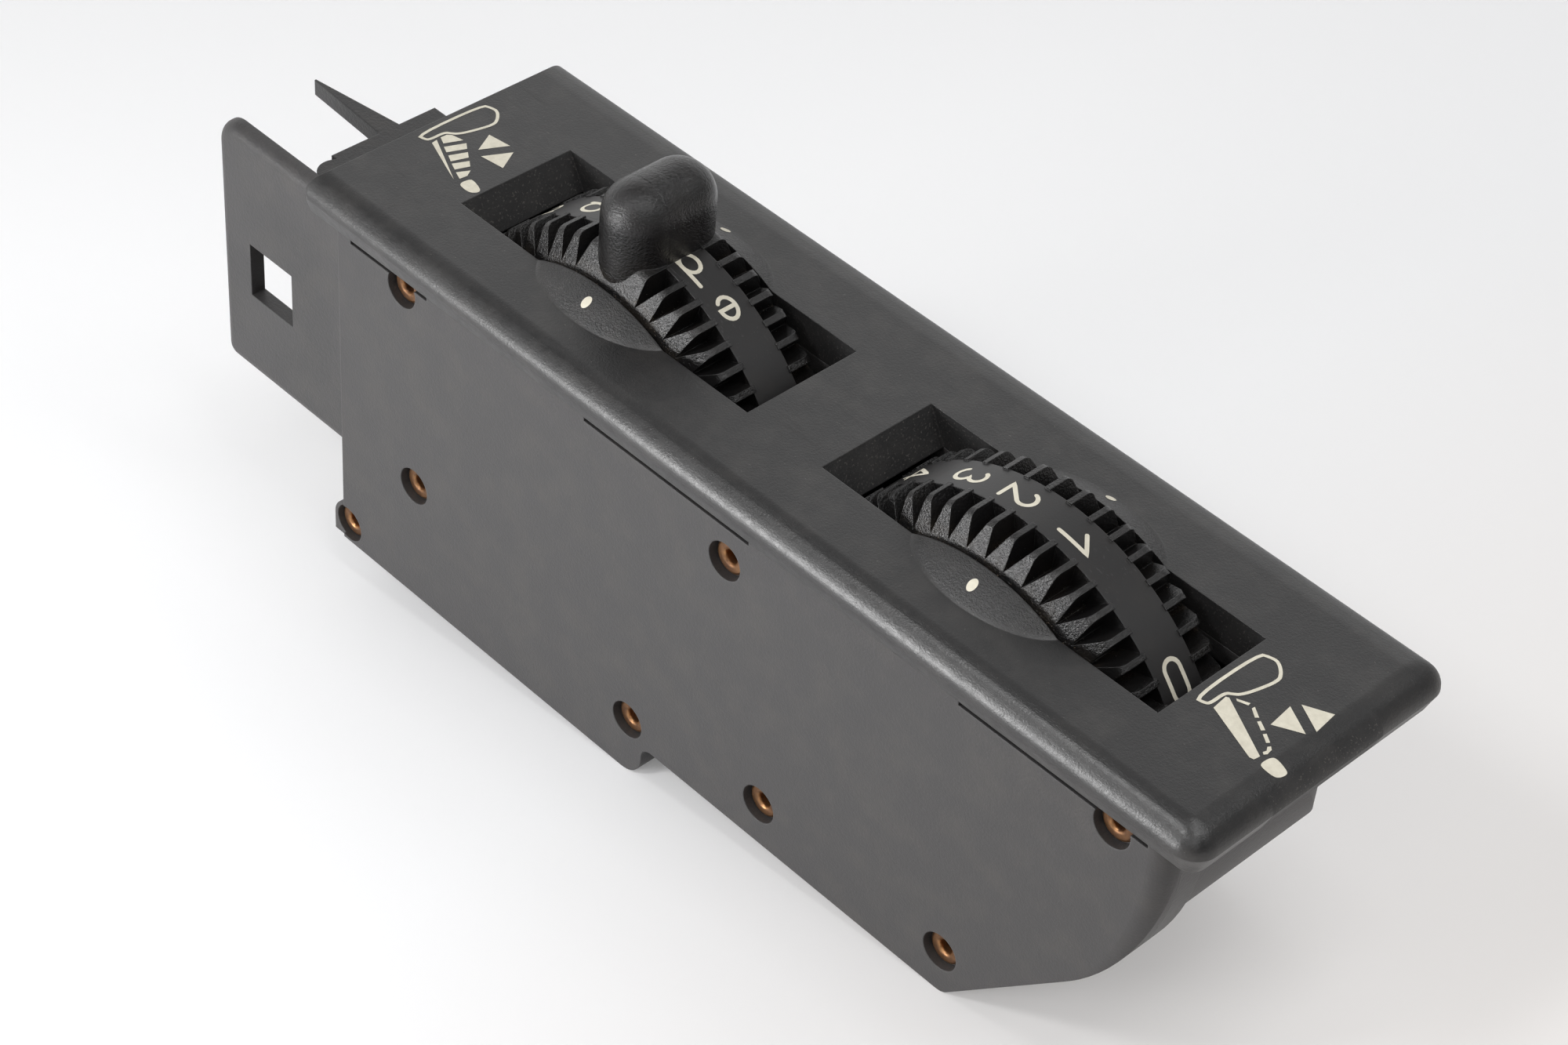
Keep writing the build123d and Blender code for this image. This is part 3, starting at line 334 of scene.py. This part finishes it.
def bezel_crown(w, x, across):
    """Height of the plate's crowned rim: 1 inside, falling to 0 at the near edge and the end."""
    outside = w.math("ABSOLUTE", across)
    inward = w.ease(outside, BEZEL_EDGE - CROWN_MARGIN, BEZEL_EDGE - CROWN_WIDTH)
    edge_level = w.span(across, -1.0, 1.0, 0.0, FAR_SIDE_LEVEL)
    sides = w.span(inward, 0.0, 1.0, edge_level, 1.0)
    along = w.math("SUBTRACT", w.math("MULTIPLY", x, 1000.0), BEZEL_X)
    end = w.ease(along, BEZEL_END - CROWN_MARGIN, BEZEL_END - CROWN_WIDTH - 0.25)
    return w.math("MULTIPLY", sides, end)


def wheel_plastic(name, axle_x, parting_line=False):
    """Semi-gloss black teeth, a smoother matt band, and brown dust down in the grooves."""
    material, w, shader = finish(name)
    place = w.place()
    rim = grouped(w, RIM_DEPTH, {"Place": place, "Axle X": axle_x + BEZEL_X})
    grain = grouped(w, GRAIN, {"Place": place, "Cells": 3400.0})
    edges = grouped(w, EDGES, {"Round": 0.00012})
    down = w.span(rim["Depth"], GROOVE_START, GROOVE_FLOOR)
    flank = w.math("MULTIPLY", down, w.span(rim["Off band"], 0.0, 0.15))
    amount = w.math("ADD", w.math("MULTIPLY", flank, 0.3), 0.03)
    specks = grouped(w, DUST, {"Place": place, "Specks": 4200.0, "Amount": amount})
    not_deep = w.span(rim["Depth"], 0.12, 0.04)
    not_proud = w.span(rim["Depth"], -0.14, -0.06)
    band_level = w.math("MULTIPLY", not_deep, not_proud)
    on_band = w.math("MULTIPLY", w.span(rim["Off band"], 0.05, -0.02), band_level)
    scratches = grouped(w, SCRATCHES, {"Place": place, "Scale": 260.0, "Amount": 0.6})
    colour = w.blend(grain["Mottle"], grey(0.007), grey(0.011))
    colour = w.blend(on_band, colour, grey(0.016))
    scratched = w.math("MULTIPLY", scratches["Mask"], w.math("MULTIPLY", on_band, 0.3))
    colour = w.blend(scratched, colour, grey(0.12))
    # Painted highlight: a lighter grey along the softened edges.
    colour = w.blend(w.math("MULTIPLY", edges["Edge"], 0.25), colour, grey(0.06))
    colour = w.blend(w.math("MULTIPLY", specks["Mask"], 0.65), colour, (0.13, 0.095, 0.06, 1.0))
    w.feed(shader.inputs["Base Color"], colour)
    rough = w.math("ADD", 0.22, w.math("MULTIPLY", on_band, 0.2))
    rough = w.math("ADD", rough, w.math("MULTIPLY", specks["Mask"], 0.35))
    w.feed(shader.inputs["Roughness"], rough)
    shader.inputs["Specular IOR Level"].default_value = 0.55
    bumps = w.math("MULTIPLY", grain["Height"], w.span(on_band, 0.0, 1.0, 1.0, 0.1))
    normal = raised(w, bumps, 0.00006, edges["Normal"])
    if parting_line:
        parts = w.add("ShaderNodeSeparateXYZ", {0: place}).outputs
        wander = w.span(w.noise(place, 60.0, 2.0), 0.0, 1.0, -0.5, 0.5)
        off_line = w.math("ABSOLUTE", w.math("ADD", w.math("MULTIPLY", parts[1], 1000.0), wander))
        on_line = w.span(w.math("SUBTRACT", off_line, LEVER_SEAM), 0.12, 0.0)
        seam = w.math("MULTIPLY", on_line, w.span(parts[2], LEVER_FOOT, LEVER_FOOT + 0.002))
        near = w.span(parts[1], 0.0, -0.0005)
        normal = raised(w, w.math("MULTIPLY", seam, near), 0.00005, normal)
    w.feed(shader.inputs["Normal"], normal)
    return material


def printed_ink():
    """Cream marking ink, a little uneven."""
    material, w, shader = finish("cream_ink")
    place = w.place()
    cloud = w.span(w.noise(place, 1200.0, 4.0, 0.6), 0.3, 0.7)
    colour = w.blend(cloud, (0.64, 0.60, 0.49, 1.0), (0.76, 0.72, 0.60, 1.0))
    w.feed(shader.inputs["Base Color"], colour)
    w.feed(shader.inputs["Roughness"], w.span(cloud, 0.0, 1.0, 0.5, 0.62))
    w.feed(shader.inputs["Normal"], raised(w, w.noise(place, 5000.0, 2.0), 0.00001))
    return material


def turned_metal(name, light, dark, rough, near_face_shade=0.0):
    """Metal with faint turning marks and dull patches, and painted shade darkening the faces turned
    to -Y.
    """
    material, w, shader = finish(name)
    place = w.place()
    cloud = w.span(w.noise(place, 700.0, 4.0, 0.6), 0.35, 0.65)
    colour = w.blend(cloud, dark, light)
    if near_face_shade:
        # Painted shade: faces turned to -Y are darkened towards the dark colour.
        facing = w.add("ShaderNodeNewGeometry").outputs["Normal"]
        turned = w.span(w.add("ShaderNodeSeparateXYZ", {0: facing}).outputs[1], -0.7, -0.95)
        colour = w.blend(w.math("MULTIPLY", turned, near_face_shade), colour, dark)
    w.feed(shader.inputs["Base Color"], colour)
    w.feed(shader.inputs["Metallic"], w.span(cloud, 0.0, 1.0, 0.85, 1.0))
    w.feed(shader.inputs["Roughness"], w.span(cloud, 0.0, 1.0, rough + 0.15, rough))
    lines = w.noise(w.stretched(place, (1.0, 1.0, 6.0)), 1500.0, 2.0)
    w.feed(shader.inputs["Normal"], raised(w, lines, 0.00001))
    return material


def soft_rubber(name):
    """Black rubber with a pale bloom."""
    material, w, shader = finish(name)
    place = w.place()
    bloom = w.span(w.noise(place, 300.0, 4.0, 0.6), 0.4, 0.7)
    w.feed(shader.inputs["Base Color"], w.blend(bloom, grey(0.008), grey(0.018)))
    w.feed(shader.inputs["Roughness"], w.span(bloom, 0.0, 1.0, 0.7, 0.85))
    w.feed(shader.inputs["Normal"], raised(w, w.noise(place, 2600.0, 2.0), 0.00003))
    return material


def pale_plastic(name, light, dark):
    """Unpainted moulded plastic with a faint cloudiness."""
    material, w, shader = finish(name)
    place = w.place()
    cloud = w.span(w.noise(place, 200.0, 4.0, 0.6), 0.35, 0.65)
    w.feed(shader.inputs["Base Color"], w.blend(cloud, dark, light))
    w.feed(shader.inputs["Roughness"], w.span(cloud, 0.0, 1.0, 0.42, 0.5))
    w.feed(shader.inputs["Normal"], raised(w, w.noise(place, 1800.0, 2.0), 0.00002))
    return material


BEZEL_BLACK = bezel_plastic()
# The cover's softened edges get a stronger painted highlight.
COVER_GREY = moulded_plastic(
    "cover_matt_grey",
    0.047,
    0.5,
    cells=3200.0,
    depth=0.000025,
    edge=0.00022,
    edge_highlight=0.09,
    mottle=0.05,
)
FRAME_BLACK = moulded_plastic(
    "frame_satin_black", 0.042, 0.45, cells=2600.0, depth=0.00003, edge=0.0002
)
SHELL_BLACK = moulded_plastic(
    "shell_matt_black", 0.04, 0.5, cells=2400.0, edge=0.0003, mottle=0.15
)
BLOCK_BLACK = moulded_plastic("block_satin_black", 0.022, 0.42, cells=2400.0, edge=0.00025)
SELECTOR_BLACK = wheel_plastic("selector_gloss_black", SELECTOR_X, parting_line=True)
PRESSURE_BLACK = wheel_plastic("pressure_gloss_black", PRESSURE_X)
SEAL_RUBBER = soft_rubber("seal_rubber")
CREAM_INK = printed_ink()
COPPER = turned_metal(
    "rivet_copper", (0.62, 0.33, 0.15, 1.0), (0.12, 0.062, 0.035, 1.0), 0.34, near_face_shade=0.7
)
BRASS = turned_metal("turned_brass", (0.75, 0.56, 0.27, 1.0), (0.55, 0.39, 0.17, 1.0), 0.3)
STEEL = turned_metal("ground_steel", (0.62, 0.61, 0.6, 1.0), (0.45, 0.44, 0.43, 1.0), 0.28)
SPRING_WIRE = turned_metal("drawn_wire", (0.5, 0.5, 0.5, 1.0), (0.35, 0.34, 0.33, 1.0), 0.35)
NATURAL_PLASTIC = pale_plastic("natural_plastic", (0.74, 0.72, 0.64, 1.0), (0.64, 0.62, 0.54, 1.0))
MANIFOLD_PLASTIC = pale_plastic("manifold_plastic", (0.5, 0.49, 0.44, 1.0), (0.4, 0.39, 0.35, 1.0))

NODE_FINISH = {
    "bezel": BEZEL_BLACK,
    "near_cover": COVER_GREY,
    "latch_frame": FRAME_BLACK,
    "body_seal": SEAL_RUBBER,
    "main_shell": SHELL_BLACK,
    "end_block": BLOCK_BLACK,
    "tubular_rivets": COPPER,
    "selector_axle": STEEL,
    "pressure_axle": STEEL,
    "thrust_washers": STEEL,
    "valve_manifold": MANIFOLD_PLASTIC,
    "plunger_seals": SEAL_RUBBER,
    "seal_caps": BRASS,
    "hose_nipples": BRASS,
    "selector_detent_ball": STEEL,
    "selector_detent_spring": SPRING_WIRE,
    "selector_plunger_spring": SPRING_WIRE,
    "pressure_plunger_spring": SPRING_WIRE,
    "selector_wheel": SELECTOR_BLACK,
    "pressure_wheel": PRESSURE_BLACK,
    "selector_cam": NATURAL_PLASTIC,
    "pressure_cam": NATURAL_PLASTIC,
    "selector_plunger": NATURAL_PLASTIC,
    "pressure_plunger": NATURAL_PLASTIC,
}
for node_name, node_finish in NODE_FINISH.items():
    mesh = nodes[node_name].data
    mesh.materials.clear()
    mesh.materials.append(node_finish)


# Printed marks

def smoothed(points, closed, rounds=2):
    """The line with its corners cut, a few times over."""
    for _ in range(rounds):
        cut = []
        count = len(points)
        last = count if closed else count - 1
        for index in range(last):
            here = Vector(points[index])
            there = Vector(points[(index + 1) % count])
            cut.append(here.lerp(there, 0.25))
            cut.append(here.lerp(there, 0.75))
        if not closed:
            cut = [Vector(points[0])] + cut + [Vector(points[-1])]
        points = [tuple(point) for point in cut]
    return points


def parted(points, closed, step):
    """The line with points added, so that none are further apart than the step."""
    count = len(points)
    result = []
    for index in range(count if closed else count - 1):
        here = Vector(points[index])
        there = Vector(points[(index + 1) % count])
        pieces = max(1, math.ceil((there - here).length / step))
        result += [tuple(here.lerp(there, part / pieces)) for part in range(pieces)]
    if not closed:
        result.append(tuple(points[-1]))
    return result


def ribbon(bm, points, width, closed, lay):
    """A stroke of even width along the line. lay puts a flat point onto the surface."""
    count = len(points)
    rows = []
    for index in range(count):
        here = Vector(points[index])
        before = Vector(points[(index - 1) % count]) if closed or index else here
        after = Vector(points[(index + 1) % count]) if closed or index < count - 1 else here
        ahead = (after - here).normalized() if (after - here).length else Vector((0, 0))
        behind = (here - before).normalized() if (here - before).length else Vector((0, 0))
        along = (ahead + behind).normalized()
        side = Vector((-along.y, along.x))
        reach = width / 2
        if ahead.length and behind.length:
            reach /= max(0.6, side.dot(Vector((-behind.y, behind.x))))
        rows.append([bm.verts.new(lay(here + side * sign * reach)) for sign in (1, -1)])
    for index in range(count if closed else count - 1):
        a = rows[index]
        b = rows[(index + 1) % count]
        bm.faces.new((a[1], b[1], b[0], a[0]))
    if not closed:
        rounded_end(bm, rows[0][::-1], points[0], points[1], width, lay)
        rounded_end(bm, rows[-1], points[-1], points[-2], width, lay)


def rounded_end(bm, row, end, inner, width, lay):
    """Half-round end of a stroke, on the row of its last left and right corner."""
    along = (Vector(end) - Vector(inner)).normalized()
    spoke = Vector((-along.y, along.x)) * (width / 2)
    fan = [Vector(end) + Matrix.Rotation(-math.pi * step / 6, 2) @ spoke for step in range(1, 6)]
    rim = [bm.verts.new(lay(point)) for point in fan]
    bm.faces.new([row[1]] + rim[::-1] + [row[0]])


def patch(bm, points, lay):
    """A filled shape."""
    bm.faces.new([bm.verts.new(lay(Vector(point))) for point in points])


def marks_piece(name, bm, body):
    """Turns the drawn marks into a piece of ink that rides on a body."""
    bmesh.ops.recalc_face_normals(bm, faces=bm.faces)
    bmesh.ops.triangulate(bm, faces=bm.faces, ngon_method="EAR_CLIP")
    mesh = bpy.data.meshes.new(name)
    bm.to_mesh(mesh)
    bm.free()
    piece = bpy.data.objects.new(name, mesh)
    bpy.context.scene.collection.objects.link(piece)
    mesh.materials.append(CREAM_INK)
    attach(piece, body)
    return piece


def on_bezel(point):
    return at(point[0], point[1], INK)


SEAT_BACK = [
    (50.18, -3.53), (50.19, 5.48), (51.16, 5.97), (52.10, 6.11), (53.25, 5.14), (53.77, 4.15),
    (53.10, 1.22), (52.64, 0.04), (52.19, -0.41), (51.55, -0.91), (51.60, -2.97), (51.23, -3.33),
]
CUSHION_WEDGE = [
    (52.16, -3.18), (51.94, -1.23), (52.23, -1.07), (59.02, -4.65), (58.92, -5.37), (58.45, -5.49),
]
LIFTED_EDGE = [
    [(52.72, -0.66), (53.98, -0.11), (54.04, -0.48), (52.99, -0.86)],
    [(54.51, -0.54), (54.54, -0.15), (55.73, -0.92), (55.47, -1.23)],
    [(55.93, -1.46), (56.12, -1.14), (57.15, -1.73), (56.92, -2.06)],
    [(57.33, -2.30), (57.52, -1.98), (58.48, -2.61), (58.27, -2.92)],
    [(58.66, -3.20), (58.83, -2.91), (59.17, -3.19), (59.28, -3.92), (59.08, -4.23),
     (58.82, -4.04), (58.94, -3.64)],
]
RIGHT_KNEE = [
    (59.62, -5.29), (59.72, -4.07), (60.14, -3.65), (61.91, -4.17), (62.13, -4.67),
    (61.91, -5.43), (61.41, -5.69), (60.00, -5.60),
]
RIGHT_ARROWS = [
    [(56.99, -0.80), (56.61, 2.42), (59.88, 0.75)],
    [(57.13, 3.40), (59.98, 4.79), (60.34, 1.74)],
]
CUSHION_BELLOWS = [
    [(-59.49, -3.18), (-59.62, -2.42), (-52.98, -5.54), (-54.26, -5.12)],
    [(-59.69, -1.82), (-59.66, -0.97), (-59.24, -0.56), (-57.79, -0.23), (-58.65, -2.29)],
    [(-58.15, -2.64), (-57.16, -0.32), (-56.33, -0.93), (-57.21, -3.06)],
    [(-56.65, -3.27), (-55.82, -1.24), (-55.01, -1.81), (-55.67, -3.74)],
    [(-55.29, -3.94), (-54.48, -2.13), (-53.68, -2.71), (-54.27, -4.35)],
    [(-53.82, -4.57), (-53.11, -3.12), (-52.58, -4.03), (-52.69, -5.00)],
]
LEFT_KNEE = [
    (-52.08, -5.64), (-52.00, -4.31), (-51.58, -4.01), (-49.82, -4.46), (-49.57, -5.04),
    (-50.08, -5.69), (-50.97, -5.81),
]
LEFT_ARROWS = [
    [(-55.46, -0.10), (-56.84, 2.59), (-53.90, 3.02)],
    [(-54.38, -0.63), (-52.76, 2.55), (-51.30, -0.17)],
]
SIGN_SPACING = 111.7


def seat_signs():
    """The two seat signs: an outlined back, a cushion, a knee roll and a pair of arrows."""
    bm = bmesh.new()
    back = smoothed(SEAT_BACK, True)
    for shift in (0.0, -SIGN_SPACING):
        moved = [(x + shift, y) for x, y in back]
        ribbon(bm, moved, 0.36, True, on_bezel)
    for shape in [CUSHION_WEDGE] + LIFTED_EDGE + RIGHT_ARROWS + CUSHION_BELLOWS + LEFT_ARROWS:
        patch(bm, shape, on_bezel)
    for shape in (RIGHT_KNEE, LEFT_KNEE):
        patch(bm, smoothed(shape, True), on_bezel)
    return marks_piece("seat_signs", bm, "housing")


def crown_radius(y):
    """Radius of a hump's crown about the wheel's axis, across the bezel."""
    (r1, y1), (r2, y2), (r3, y3) = HUMP_CROWN
    first = (y - y2) * (y - y3) / ((y1 - y2) * (y1 - y3)) * r1
    second = (y - y1) * (y - y3) / ((y2 - y1) * (y2 - y3)) * r2
    third = (y - y1) * (y - y2) / ((y3 - y1) * (y3 - y2)) * r3
    return first + second + third


DOT_X = 0.2
DOT_Y = 9.65
DOT_RADII = (0.5, 0.62)
DOT_STEPS = 24


def dot_ring(bm, axle_x, side, share):
    """Corners round an index dot, on the crown of a hump."""
    ring = []
    for step in range(DOT_STEPS):
        turn = math.tau * step / DOT_STEPS
        x = DOT_X + DOT_RADII[0] * share * math.cos(turn)
        y = DOT_Y + DOT_RADII[1] * share * math.sin(turn)
        z = math.sqrt((crown_radius(y) + INK) ** 2 - x**2)
        ring.append(bm.verts.new(at(axle_x + x, side * y, AXLE_Z + z)))
    return ring


def index_dots():
    """Oval dots on the humps, opposite which a character is read."""
    bm = bmesh.new()
    for axle_x in (SELECTOR_X, PRESSURE_X):
        for side in (-1, 1):
            outer = dot_ring(bm, axle_x, side, 1.0)
            inner = dot_ring(bm, axle_x, side, 0.5)
            for step in range(DOT_STEPS):
                after = (step + 1) % DOT_STEPS
                bm.faces.new((outer[step], outer[after], inner[after], inner[step]))
            bm.faces.new(inner)
    return marks_piece("index_dots", bm, "housing")


def arc(centre, radii, start, end, steps=10):
    """Points along part of an oval, with angles in degrees from glyph right, anticlockwise."""
    points = []
    for step in range(steps + 1):
        turn = math.radians(start + (end - start) * step / steps)
        across = centre[0] + radii[0] * math.cos(turn)
        points.append((across, centre[1] + radii[1] * math.sin(turn)))
    return points


# Strokes of the characters in millimetres, from the middle of the baseline
DIGITS = {
    "0": [(arc((0.05, 1.25), (1.0, 1.05), 180, 360) + arc((0.05, 3.5), (1.0, 1.05), 0, 180), True)],
    "1": [([(0.8, 0.2), (0.8, 3.9), (-0.9, 2.3)], False)],
    "2": [(arc((0.0, 2.85), (1.05, 1.0), 165, -35, 12) + [(-1.0, 0.25), (1.2, 0.25)], False)],
    "3": [
        (arc((0.0, 2.95), (0.95, 0.9), 150, -75, 12) + arc((0.05, 1.2), (1.05, 0.95), 75, -160, 14),
         False),
    ],
    "4": [([(0.55, 0.2), (0.55, 3.9), (-1.1, 1.2), (1.2, 1.2)], False)],
}
LETTERS = {
    "a": [(arc((0.0, 1.5), (1.0, 1.3), 0, 342, 19), True), ([(1.0, 0.2), (1.0, 2.9)], False)],
    "b": [(arc((0.05, 1.5), (1.0, 1.3), 0, 342, 19), True), ([(-1.0, 0.2), (-1.0, 4.4)], False)],
    "c": [(arc((0.1, 1.5), (1.05, 1.3), 45, 315, 14), False)],
    "d": [(arc((0.0, 1.5), (1.0, 1.3), 0, 342, 19), True), ([(1.0, 0.2), (1.0, 4.4)], False)],
    "e": [([(-1.0, 1.5)] + arc((0.0, 1.5), (1.0, 1.3), 0, 320, 18), False)],
}
# Angle of each character's baseline, growing towards the nose
DIGIT_PLACES = {"1": 5.7, "2": -12.3, "3": -27.9, "4": -46.5, "0": 44.2}
LETTER_PLACES = {"a": -45.5, "b": -27.5, "c": -9.6, "d": 8.5, "e": 23.5}
STROKE = 0.46
BAND_MIDDLE = -0.08


def wheel_marks(name, shapes, places, axle_x, body):
    """Characters laid round a wheel's band: glyph up is along the turn, glyph left is +Y."""
    bm = bmesh.new()
    for character, baseline in places.items():

        def lay(point):
            turn = math.radians(baseline) + point[1] / BAND_RADIUS
            radius = BAND_RADIUS + INK
            return at(
                axle_x + radius * math.sin(turn),
                BAND_MIDDLE - point[0],
                AXLE_Z + radius * math.cos(turn),
            )

        for points, closed in shapes[character]:
            ribbon(bm, parted(points, closed, 0.35), STROKE, closed, lay)
    return marks_piece(name, bm, body)


seat_signs()
index_dots()
wheel_marks("selector_letters", LETTERS, LETTER_PLACES, SELECTOR_X, "selector")
wheel_marks("pressure_numbers", DIGITS, DIGIT_PLACES, PRESSURE_X, "pressure")


# Stage, light and camera

FOOT_ARC = (-11.5, -45.8, 3.0)
CORNER_ARC = (35.47, -41.7, 2.0)


def floor_tilt():
    """Slope of the floor line that touches the foot's round edge and the body's round corner."""
    run = CORNER_ARC[0] - FOOT_ARC[0]
    rise = CORNER_ARC[1] - FOOT_ARC[1]
    return math.atan2(rise, run) + math.asin((FOOT_ARC[2] - CORNER_ARC[2]) / math.hypot(run, rise))


def pale_floor_finish():
    """Pale floor: the camera and reflections see it near white, greyer to the right, with painted
    shade in its colour and a painted glow that lifts the shadows there.
    """
    material, w, shader = finish("pale_floor")
    place = w.place()
    share = w.span(w.add("ShaderNodeSeparateXYZ", {0: place}).outputs[0], 0.0, 0.09)
    # Painted shade: the floor's colour darkens towards +X.
    colour = w.blend(share, (0.84, 0.84, 0.85, 1), (0.5, 0.485, 0.475, 1))
    w.feed(shader.inputs["Base Color"], colour)
    shader.inputs["Roughness"].default_value = 0.6
    shader.inputs["Specular IOR Level"].default_value = 0.2
    path = w.add("ShaderNodeLightPath").outputs
    seen = w.math("ADD", path["Is Camera Ray"], path["Is Glossy Ray"])
    seen = w.math("ADD", seen, path["Is Transmission Ray"], clamp=True)
    # Painted light: the glow grows towards +X and lifts the shadows there.
    glow = w.blend(share, (0.45, 0.45, 0.45, 1), (1, 0.97, 0.95, 1))
    w.feed(shader.inputs["Emission Color"], glow)
    w.feed(shader.inputs["Emission Strength"], w.math("MULTIPLY", seen, 0.36))
    return material


def pale_floor():
    """The floor, tilted to touch the body on the line it would rest on."""
    tilt = floor_tilt()
    touch_x = FOOT_ARC[0] + FOOT_ARC[2] * math.sin(tilt)
    touch_z = FOOT_ARC[1] - FOOT_ARC[2] * math.cos(tilt)
    mesh = bpy.data.meshes.new("pale_floor")
    bm = bmesh.new()
    bmesh.ops.create_grid(bm, x_segments=8, y_segments=8, size=2.5)
    bm.to_mesh(mesh)
    bm.free()
    floor = bpy.data.objects.new("pale_floor", mesh)
    bpy.context.scene.collection.objects.link(floor)
    turned = Matrix.Rotation(-tilt, 4, "Y")
    floor.matrix_world = Matrix.Translation(at(touch_x, 0, touch_z)) @ turned
    mesh.materials.append(pale_floor_finish())


def soft_lamp(name, place, size, power, aim=(0.0, 0.0, -15.0)):
    """A rectangular lamp at a place, looking at a point on the object, both in millimetres."""
    lamp = bpy.data.lights.new(name, "AREA")
    lamp.shape = "RECTANGLE"
    lamp.size, lamp.size_y = size
    lamp.energy = power
    holder = bpy.data.objects.new(name, lamp)
    bpy.context.scene.collection.objects.link(holder)
    holder.location = at(*place)
    look = at(*aim) - holder.location
    holder.rotation_euler = look.to_track_quat("-Z", "Y").to_euler()
    return holder


def room_light():
    """A pale room, bright on the left and at the back, darker overhead, in front and right."""
    world = bpy.data.worlds.new("pale_room")
    bpy.context.scene.world = world
    world.use_nodes = True
    w = Wiring(world.node_tree)
    background = world.node_tree.nodes["Background"]
    direction = w.add("ShaderNodeTexCoord").outputs["Generated"]
    across, back, up = w.add("ShaderNodeSeparateXYZ", {0: direction}).outputs
    high = w.span(up, 0.58, 0.74, 1.0, 0.8)
    overhead = w.span(up, 0.74, 0.86, 1.0, 0.2)
    on_right = w.span(across, -0.35, 0.55, 1.0, 0.2)
    in_front = w.math("MULTIPLY", w.ease(back, 0.1, -0.35), w.ease(up, 0.2, 0.5))
    level = w.math("MULTIPLY", w.math("MULTIPLY", high, overhead), on_right)
    level = w.math("MULTIPLY", level, w.span(in_front, 0.0, 1.0, 1.0, 0.25))
    w.feed(background.inputs["Color"], w.blend(level, (0, 0, 0, 1), (1, 1, 1, 1)))
    background.inputs["Strength"].default_value = 1.1


CAMERA_AZIMUTH = 42.95635
CAMERA_ELEVATION = 41.6471
CAMERA_ROLL = 5.07705
CAMERA_DISTANCE = 350.926
CAMERA_OFFSET = (5.52294, 11.36147)
SENSOR_WIDTH = 36.0
# Focal length over the long side of the picture, both in pixels
CAMERA_LENS = 4512.991 / 2000 * SENSOR_WIDTH


def camera():
    """The photograph's camera."""
    turn = math.radians(CAMERA_AZIMUTH)
    lift = math.radians(CAMERA_ELEVATION)
    roll = math.radians(CAMERA_ROLL)
    flat = math.cos(lift)
    back = Vector((math.sin(turn) * flat, -math.cos(turn) * flat, math.sin(lift)))
    level_right = (-back).cross(Vector((0, 0, 1))).normalized()
    level_up = level_right.cross(-back)
    right = level_right * math.cos(roll) + level_up * math.sin(roll)
    up = level_up * math.cos(roll) - level_right * math.sin(roll)
    place = back * CAMERA_DISTANCE - right * CAMERA_OFFSET[0] - up * CAMERA_OFFSET[1]
    data = bpy.data.cameras.new("photo_camera")
    data.sensor_width = SENSOR_WIDTH
    data.lens = CAMERA_LENS
    data.clip_start = 0.01
    holder = bpy.data.objects.new("photo_camera", data)
    bpy.context.scene.collection.objects.link(holder)
    turned = Matrix((right, up, back)).transposed().to_4x4()
    holder.matrix_world = Matrix.Translation(at(*place)) @ turned
    bpy.context.scene.camera = holder


pale_floor()
room_light()
soft_lamp("near_left_lamp", (-132, -384, 444), (0.1, 0.12), 1.0)
soft_lamp("near_low_lamp", (-165, -360, 20), (0.14, 0.1), 0.92)
soft_lamp("overhead_lamp", (170, -10, 560), (0.22, 0.2), 0.85)
soft_lamp("far_right_lamp", (330, 140, 400), (0.14, 0.14), 0.3)
soft_lamp("camera_side_lamp", (320, -350, 480), (0.4, 0.4), 0.8)
camera()
bpy.context.scene.view_settings.view_transform = "Standard"
